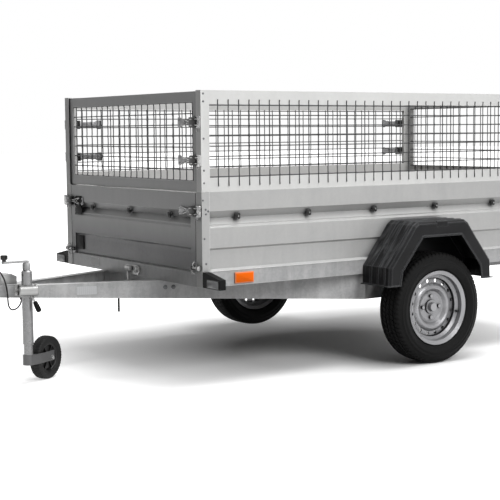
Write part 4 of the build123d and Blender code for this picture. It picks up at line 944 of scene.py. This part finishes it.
def add_hinge_ring(bm, at, toward):
    """A spring ring over a hinge pin, which swings with its flap."""
    ring = loop((toward * RING_IN, RING_RISE, RING_OUT), (0, 0, RING_RADIUS), (0, RING_RADIUS, 0), 20)
    add_rod(bm, ring, RING_WIRE, closed=True, at=at)


def add_hinge_clip(bm, at, toward):
    """The clip through a hinge pin's end and the washer behind its head."""
    add_rod(bm, [(toward * inset, rise, lift) for inset, rise, lift in CLIP], CLIP_WIRE, at=at)
    sideways = Matrix.Rotation(-toward * pi / 2, 4, "Y")
    add_lathe(bm, PIN_WASHER, moved(at, toward * PIN_WASHER_IN, 0, 0) @ sideways, 20)


clips = bmesh.new()
for label, end_x, way, body in ENDS:
    rings = bmesh.new()
    for hand in (1, -1):
        at = upright(end_x + way * HINGE_X, hand * SIDE_Y, HINGE_Z, (way, 0, 0))
        add_hinge_clip(clips, at, -hand * way)
        add_hinge_ring(rings, at, -hand * way)
    finished(label + "_hinge_rings", rings, "bright", body)
finished("hinge_clips", clips, "bright", "box")

# ---- tipping lock
LOCK_THICK = 0.004
LOCK_LOOP_WIRE = 0.00224
LOCK_LOOP_OUT = 0.040
LOCK_BOLT_OUT = 0.058
LOCK_BLOCK_DEEP = 0.020
LOCK_RISE = 0.002
# Outline of its plate, in shares of its width and height.
LOCK_OUTLINE = ((-0.5, -0.15), (-0.36, -0.5), (0.36, -0.5), (0.5, -0.15), (0.5, 0.3), (0.36, 0.5),
                (-0.36, 0.5), (-0.5, 0.3))
lock_low, lock_high = span("tip_lock")
lock_size = lock_high - lock_low
lock_middle = middle_of("tip_lock")
lock_at = upright(lock_low.x, lock_middle.y, lock_middle.z, (1, 0, 0))
bm = bmesh.new()
add_prism(bm, [(x * lock_size.y, y * lock_size.z) for x, y in LOCK_OUTLINE], LOCK_THICK, lock_at, 0.0008)
for side in (-1, 1):
    wire = loop((side * LOCK_LOOP_OUT, LOCK_RISE, 0.010), (0.017, 0, 0.006), (0, 0.015, 0), 18)
    add_rod(bm, wire, LOCK_LOOP_WIRE, closed=True, at=lock_at)
    add_bolt(bm, moved(lock_at, side * LOCK_BOLT_OUT, LOCK_RISE, LOCK_THICK))
add_prism(bm, rectangle(0.046, 0.024, -0.020, 0.0065), LOCK_BLOCK_DEEP, lifted(lock_at, LOCK_THICK), 0.003)
finished("tip_lock_body", bm, "bright", "box", ("tip_lock",))

# ---- lamps and reflectors
LENS_WIDE = 0.092
LENS_HIGH = 0.034
LENS_DEEP = 0.003
LENS_FOIL = 0.0006        # bright foil on a part of the lens
FOIL_WIDE = 0.034
FOIL_HIGH = 0.022
FOIL_OUT = 0.020
LENS_RIM = 0.0022
REFLECTOR_BACK = 0.008
BORDER_DEEP = 0.0068
BORDER_BOTH = 0.010       # both sides of the border together
FIELD_LIFT = 0.0062
FIELD_DEEP = 0.0016
REAR_WIDE = 0.212
REAR_GAP = 0.0008
# Parts of a rear lamp: finish, slot, shares of its width where it starts and ends, from the inner end.
REAR_PARTS = (("red", "lens_red", 0.0, 0.34), ("clear", "lens_white", 0.34, 0.52),
              ("red", "lens_red", 0.52, 0.76), ("orange", "lens_orange", 0.76, 1.0))

lens_low, lens_high = span("front_lenses")
lens_z = (lens_low.z + lens_high.z) / 2
clear, bright, dark = bmesh.new(), bmesh.new(), bmesh.new()
for hand in (1, -1):
    at = upright(lens_low.x, hand * (lens_high.y - LENS_WIDE / 2), lens_z, (1, 0, 0))
    add_slab(clear, at, LENS_WIDE, LENS_HIGH, 0.005, LENS_DEEP - LENS_FOIL, 0.001)
    add_slab(bright, lifted(at, LENS_DEEP - LENS_FOIL - 0.0001), FOIL_WIDE, FOIL_HIGH, 0.003, LENS_FOIL,
             middle_x=hand * FOIL_OUT)
    edge = round_rectangle(LENS_WIDE + 0.002, LENS_HIGH + 0.002, 0.006)
    add_rod(dark, [(x, y, 0.0012) for x, y in edge], LENS_RIM, closed=True, at=at)
finished("front_lamp_lenses", clear, "clear", "box", ("front_lenses",))
finished("front_lamp_reflectors", bright, "reflector", "box")
finished("front_lamp_rims", dark, "black", "box")

low, high = span("side_reflectors")
wide = high.x - low.x
tall = high.z - low.z
border, field = bmesh.new(), bmesh.new()
for hand in (1, -1):
    at = upright((low.x + high.x) / 2, hand * (high.y - REFLECTOR_BACK), (low.z + high.z) / 2, (0, hand, 0))
    add_slab(border, at, wide, tall, 0.004, BORDER_DEEP, 0.0012)
    add_slab(field, lifted(at, FIELD_LIFT), wide - BORDER_BOTH, tall - BORDER_BOTH, 0.003, FIELD_DEEP,
             0.0005)
finished("reflector_borders", border, "amber_rim", "box", ("side_reflectors",))
finished("reflector_fields", field, "orange", "box")

low, high = span("rear_lenses")
for number, (finish, slot, start, end) in enumerate(REAR_PARTS):
    bm = bmesh.new()
    for hand in (1, -1):
        at = upright(high.x, hand * (high.y - REAR_WIDE / 2), (low.z + high.z) / 2, (-1, 0, 0))
        middle = -hand * ((start + end) / 2 - 0.5) * REAR_WIDE
        add_slab(bm, at, (end - start) * REAR_WIDE - REAR_GAP, high.z - low.z, 0.0025, high.x - low.x, 0.002,
                 middle)
    finished("rear_lamp_part_" + str(number), bm, finish, "box", () if number else ("rear_lenses",))

# ---- floor edging and painted shade at the front flap's far end
EDGING = 0.0008
low, high = span("floor_panel")
bm = bmesh.new()
for edge_x, way in ((high.x, 1), (low.x, -1)):
    at = upright(edge_x, 0, (low.z + high.z) / 2, (way, 0, 0))
    add_prism(bm, rectangle(high.y - low.y, high.z - low.z - 0.0004), EDGING, at)
finished("board_edging", bm, "dipped", "box")

# Painted shade: a black plate where the far end of the lower recess lies in shade.
SHADE_PATCH_Y = (-0.573, -0.492)
SHADE_PATCH_Z = (0.532, 0.604)
SHADE_PATCH_DEEP = 0.006
RECESS = 0.008
shade_patch_at = upright(FRONT_X - RECESS, (SHADE_PATCH_Y[0] + SHADE_PATCH_Y[1]) / 2, (SHADE_PATCH_Z[0] + SHADE_PATCH_Z[1]) / 2, (1, 0, 0))
bm = bmesh.new()
add_slab(bm, shade_patch_at, SHADE_PATCH_Y[1] - SHADE_PATCH_Y[0], SHADE_PATCH_Z[1] - SHADE_PATCH_Z[0], 0.004, SHADE_PATCH_DEEP, 0.0012)
finished("flap_end_painted_shade", bm, "tyre", "front_flap")

# Painted shade: a black waisted sheet over the far flap latch's plate, where that plate lies in shade; it
# bridges the upper fold. Its quarter is in shares of half its width and height.
SHADE_PAD_WIDE = 0.082
SHADE_PAD_Y = -0.529
SHADE_PAD_Z = (0.716, 0.806)
SHADE_PAD_THICK = 0.004
SHADE_PAD_QUARTER = ((0.7, 1.0), (1.0, 0.8), (1.0, 0.45), (0.55, 0.15))
shade_pad_half = (SHADE_PAD_Z[1] - SHADE_PAD_Z[0]) / 2
shade_pad = [(i * share * SHADE_PAD_WIDE / 2, j * rise * shade_pad_half)
       for i, j in ((1, 1), (1, -1), (-1, -1), (-1, 1)) for share, rise in SHADE_PAD_QUARTER[::i * j]]
bm = bmesh.new()
add_prism(bm, shade_pad, SHADE_PAD_THICK, upright(FRONT_X, SHADE_PAD_Y, (SHADE_PAD_Z[0] + SHADE_PAD_Z[1]) / 2, (1, 0, 0)), 0.0010)
finished("far_latch_painted_shade", bm, "tyre", "front_flap")

# ---- jockey wheel's fittings
CRANK_WIDE = 0.022
CRANK_THICK = 0.009
CRANK_COLLAR = ((0.0088, -0.001), (0.0120, -0.001), (0.0120, 0.0075), (0.0100, 0.0095), (0, 0.0095))
CRANK_PIN = ((0, 0.0055), (0.0048, 0.0055), (0.0048, 0.022), (0, 0.022))
TUBE_CAP = ((0, -0.034), (0.0165, -0.034), (0.0180, -0.031), (0.0180, -0.008), (0.0150, -0.003), (0, -0.003))
KNOB_RADIUS = 0.0165
KNOB_WAVE = 0.0018
KNOB_LOBES = 5
KNOB_POINTS = 60
KNOB_FOOT = 0.018
KNOB_HIGH = 0.020
KNOB_NECK = ((0.0078, -0.011), (0.0090, -0.010), (0.0095, 0.0), (0, 0.0))
tube = middle_of("jockey_tube")
crank_low, crank_high = span("jockey_crank")
crank_end = crank_high.x - KNOB_RADIUS
arm_at = Matrix.Translation((tube.x, tube.y, crank_low.z))
knob_at = Matrix.Translation((crank_end, tube.y, crank_low.z + KNOB_FOOT))
bm = bmesh.new()
add_prism(bm, slot_outline(crank_end - tube.x, CRANK_WIDE), CRANK_THICK, arm_at, 0.001)
add_lathe(bm, CRANK_COLLAR, arm_at, 20)
add_lathe(bm, CRANK_PIN, Matrix.Translation((crank_end, tube.y, crank_low.z)), 16)
add_lathe(bm, TUBE_CAP, arm_at, 28)
finished("crank_arm", bm, "dipped", "jockey_stand", ("jockey_crank",))

waves = [(a, KNOB_RADIUS - KNOB_WAVE + KNOB_WAVE * cos(KNOB_LOBES * a)) for a in turns(KNOB_POINTS)]
bm = bmesh.new()
add_prism(bm, [(radius * cos(a), radius * sin(a)) for a, radius in waves], KNOB_HIGH, knob_at, 0.0028)
add_lathe(bm, KNOB_NECK, knob_at, 20)
finished("crank_knob", bm, "black", "jockey_stand")

LEVER_START = Vector((-0.010, 0, 0.427))       # from where the tube's axis meets the ground
LEVER_OUT = 0.032                              # further out, square to the beam
LEVER_RUN = Vector((-0.036, 0.025, -0.098))
GRIP = ((0.0052, 0.0525), (0.0085, 0.0535), (0.0105, 0.0600), (0.0118, 0.0760), (0.0120, 0.0920),
        (0.0112, 0.1000), (0.0080, 0.1040), (0, 0.1052))
SADDLE_RADIUS = 0.0215
SADDLE_HALF = 0.042
SADDLE_ROUND = 0.004
SADDLE_Z = 0.428
SADDLE_OUT = 0.049
SADDLE_BACK = 0.006
CLAMP_BOLT_Z = (0.439, 0.411)
CLAMP_BOLT_OUT = -0.033
FLANGE_REACH = 0.043
NUT_OUT = 0.0353          # wheel's middle plane to the foot of a fork's nut
FORK_NUT_RADIUS = 0.0095
FORK_NUT_HIGH = 0.0075
FORK_WASHER = ((0.0130, -0.0002), (0.0130, 0.0010), (0, 0.0010))
tube_foot = Vector((tube.x, tube.y, 0))


def aimed(place, way):
    """A place whose local Z points along a way."""
    return Matrix.Translation(place) @ way.to_track_quat("Z", "Y").to_matrix().to_4x4()


bm = bmesh.new()
add_lathe(bm, GRIP, aimed(tube_foot + LEVER_START + LEVER_OUT * beam_out, LEVER_RUN.normalized()), 24)
finished("lever_grip", bm, "tyre", "chassis")

saddle = tube_foot + Vector((0, 0, SADDLE_Z)) + SADDLE_OUT * beam_out - SADDLE_BACK * beam_way
saddle_half = [(0, -SADDLE_HALF), (SADDLE_RADIUS - SADDLE_ROUND, -SADDLE_HALF),
               (SADDLE_RADIUS, SADDLE_ROUND - SADDLE_HALF)]
bm = bmesh.new()
add_lathe(bm, mirrored(saddle_half), aimed(saddle, beam_way), 32)
finished("clamp_saddle", bm, "bright", "chassis")

flange_places = [tube_foot + beam_way * way * FLANGE_REACH + beam_out * CLAMP_BOLT_OUT for way in (-1, 1)]
clamp_places = [upright(place.x, place.y, height, beam_out)
                for place in flange_places for height in CLAMP_BOLT_Z]
finished("clamp_bolts", each(clamp_places, add_bolt), "bright", "chassis")

bm = bmesh.new()
for way in (1, -1):
    at = lifted(upright(*jockey_middle, way * jockey_axis), NUT_OUT)
    add_prism(bm, polygon(FORK_NUT_RADIUS, 6), FORK_NUT_HIGH, at, 0.001)
    add_lathe(bm, FORK_WASHER, at, 24)
finished("fork_nuts", bm, "bright", "jockey_fork")

# ---- floor and light
FLOOR_SIDE = 120.0
FLOOR_BOUNCE = 0.08       # what the floor throws back on the object
FLOOR_SEEN = 0.90         # what the camera and reflections see of it
# Painted shadow: the floor's added white grows with the distance from this point, which paints the soft
# shadow round the trailer.
PAINTED_SHADOW_MIDDLE = (-0.40, 0.30, 0.0)
GLOW_NEAR = 0.60          # distances from there between which the floor grows white
GLOW_FAR = 2.60
floor_mesh = bpy.data.meshes.new("studio_floor")
floor_corners = [(*corner, 0) for corner in rectangle(FLOOR_SIDE, FLOOR_SIDE)]
floor_mesh.from_pydata(floor_corners, [], [(0, 1, 2, 3)])
floor = bpy.data.objects.new("studio_floor", floor_mesh)
scene.collection.objects.link(floor)


def background_rays(tree):
    """1 on the rays that show a background: the camera's own, and those through or off a surface."""
    path = add_node(tree, "LightPath").outputs
    seen = path["Is Camera Ray"]
    for kind in ("Is Glossy Ray", "Is Transmission Ray"):
        seen = worked(tree, "MAXIMUM", seen, path[kind])
    return seen


floor_material, tree, output, where = new_material("studio_floor")
seen = background_rays(tree)
distance = on_vectors(tree, "DISTANCE", where, PAINTED_SHADOW_MIDDLE)
matt = add_node(tree, "BsdfDiffuse", {
    "Color": mixed(tree, seen, (FLOOR_BOUNCE,) * 3, (FLOOR_SEEN,) * 3)})
# Painted shadow: white added only away from the trailer's middle.
painted_shadow_glow = add_node(tree, "Emission", {
    "Color": (1, 1, 1, 1),
    "Strength": worked(tree, "MULTIPLY", seen, mapped(tree, distance, GLOW_NEAR, GLOW_FAR))})
added = add_node(tree, "AddShader", {0: matt.outputs[0], 1: painted_shadow_glow.outputs[0]})
tree.links.new(added.outputs[0], output.inputs[0])
floor_mesh.materials.append(floor_material)

SHADE_WAY = (0.80, -0.60, -0.25)          # the studio is dark on this side of the trailer
SHADE_RANGE = (-0.75, 0.20)
SHADE_LIGHT = (0.90, 0.0)
world = bpy.data.worlds.new("studio")
world.use_nodes = True
scene.world = world
tree = world.node_tree
tree.nodes.clear()
output = add_node(tree, "OutputWorld")
ways = add_node(tree, "TexCoord").outputs["Generated"]
card = mapped(tree, on_vectors(tree, "DOT_PRODUCT", ways, SHADE_WAY), *SHADE_RANGE, *SHADE_LIGHT)
strength = add_node(tree, "Mix", {0: background_rays(tree), 2: card, 3: 1.0}, data_type="FLOAT")
sky = add_node(tree, "Background", {"Color": (1, 1, 1, 1), "Strength": strength.outputs[0]})
tree.links.new(sky.outputs[0], output.inputs[0])

# Soft lamps: name, place, where it points, side, power in watts.
LAMPS = (
    ("lamp_side", (-0.3, 5.5, 3.6), (0.2, 0.4, 0.5), 2.6, 165),
    ("lamp_top", (-0.8, 0.6, 5.0), (-0.4, 0.0, 0.5), 3.0, 260),
)
for name, place, target, side, power in LAMPS:
    light = bpy.data.lights.new(name, "AREA")
    light.shape = "SQUARE"
    light.size = side
    light.energy = power
    lamp = bpy.data.objects.new(name, light)
    lamp.location = place
    lamp.rotation_euler = (Vector(target) - Vector(place)).to_track_quat("-Z", "Y").to_euler()
    scene.collection.objects.link(lamp)
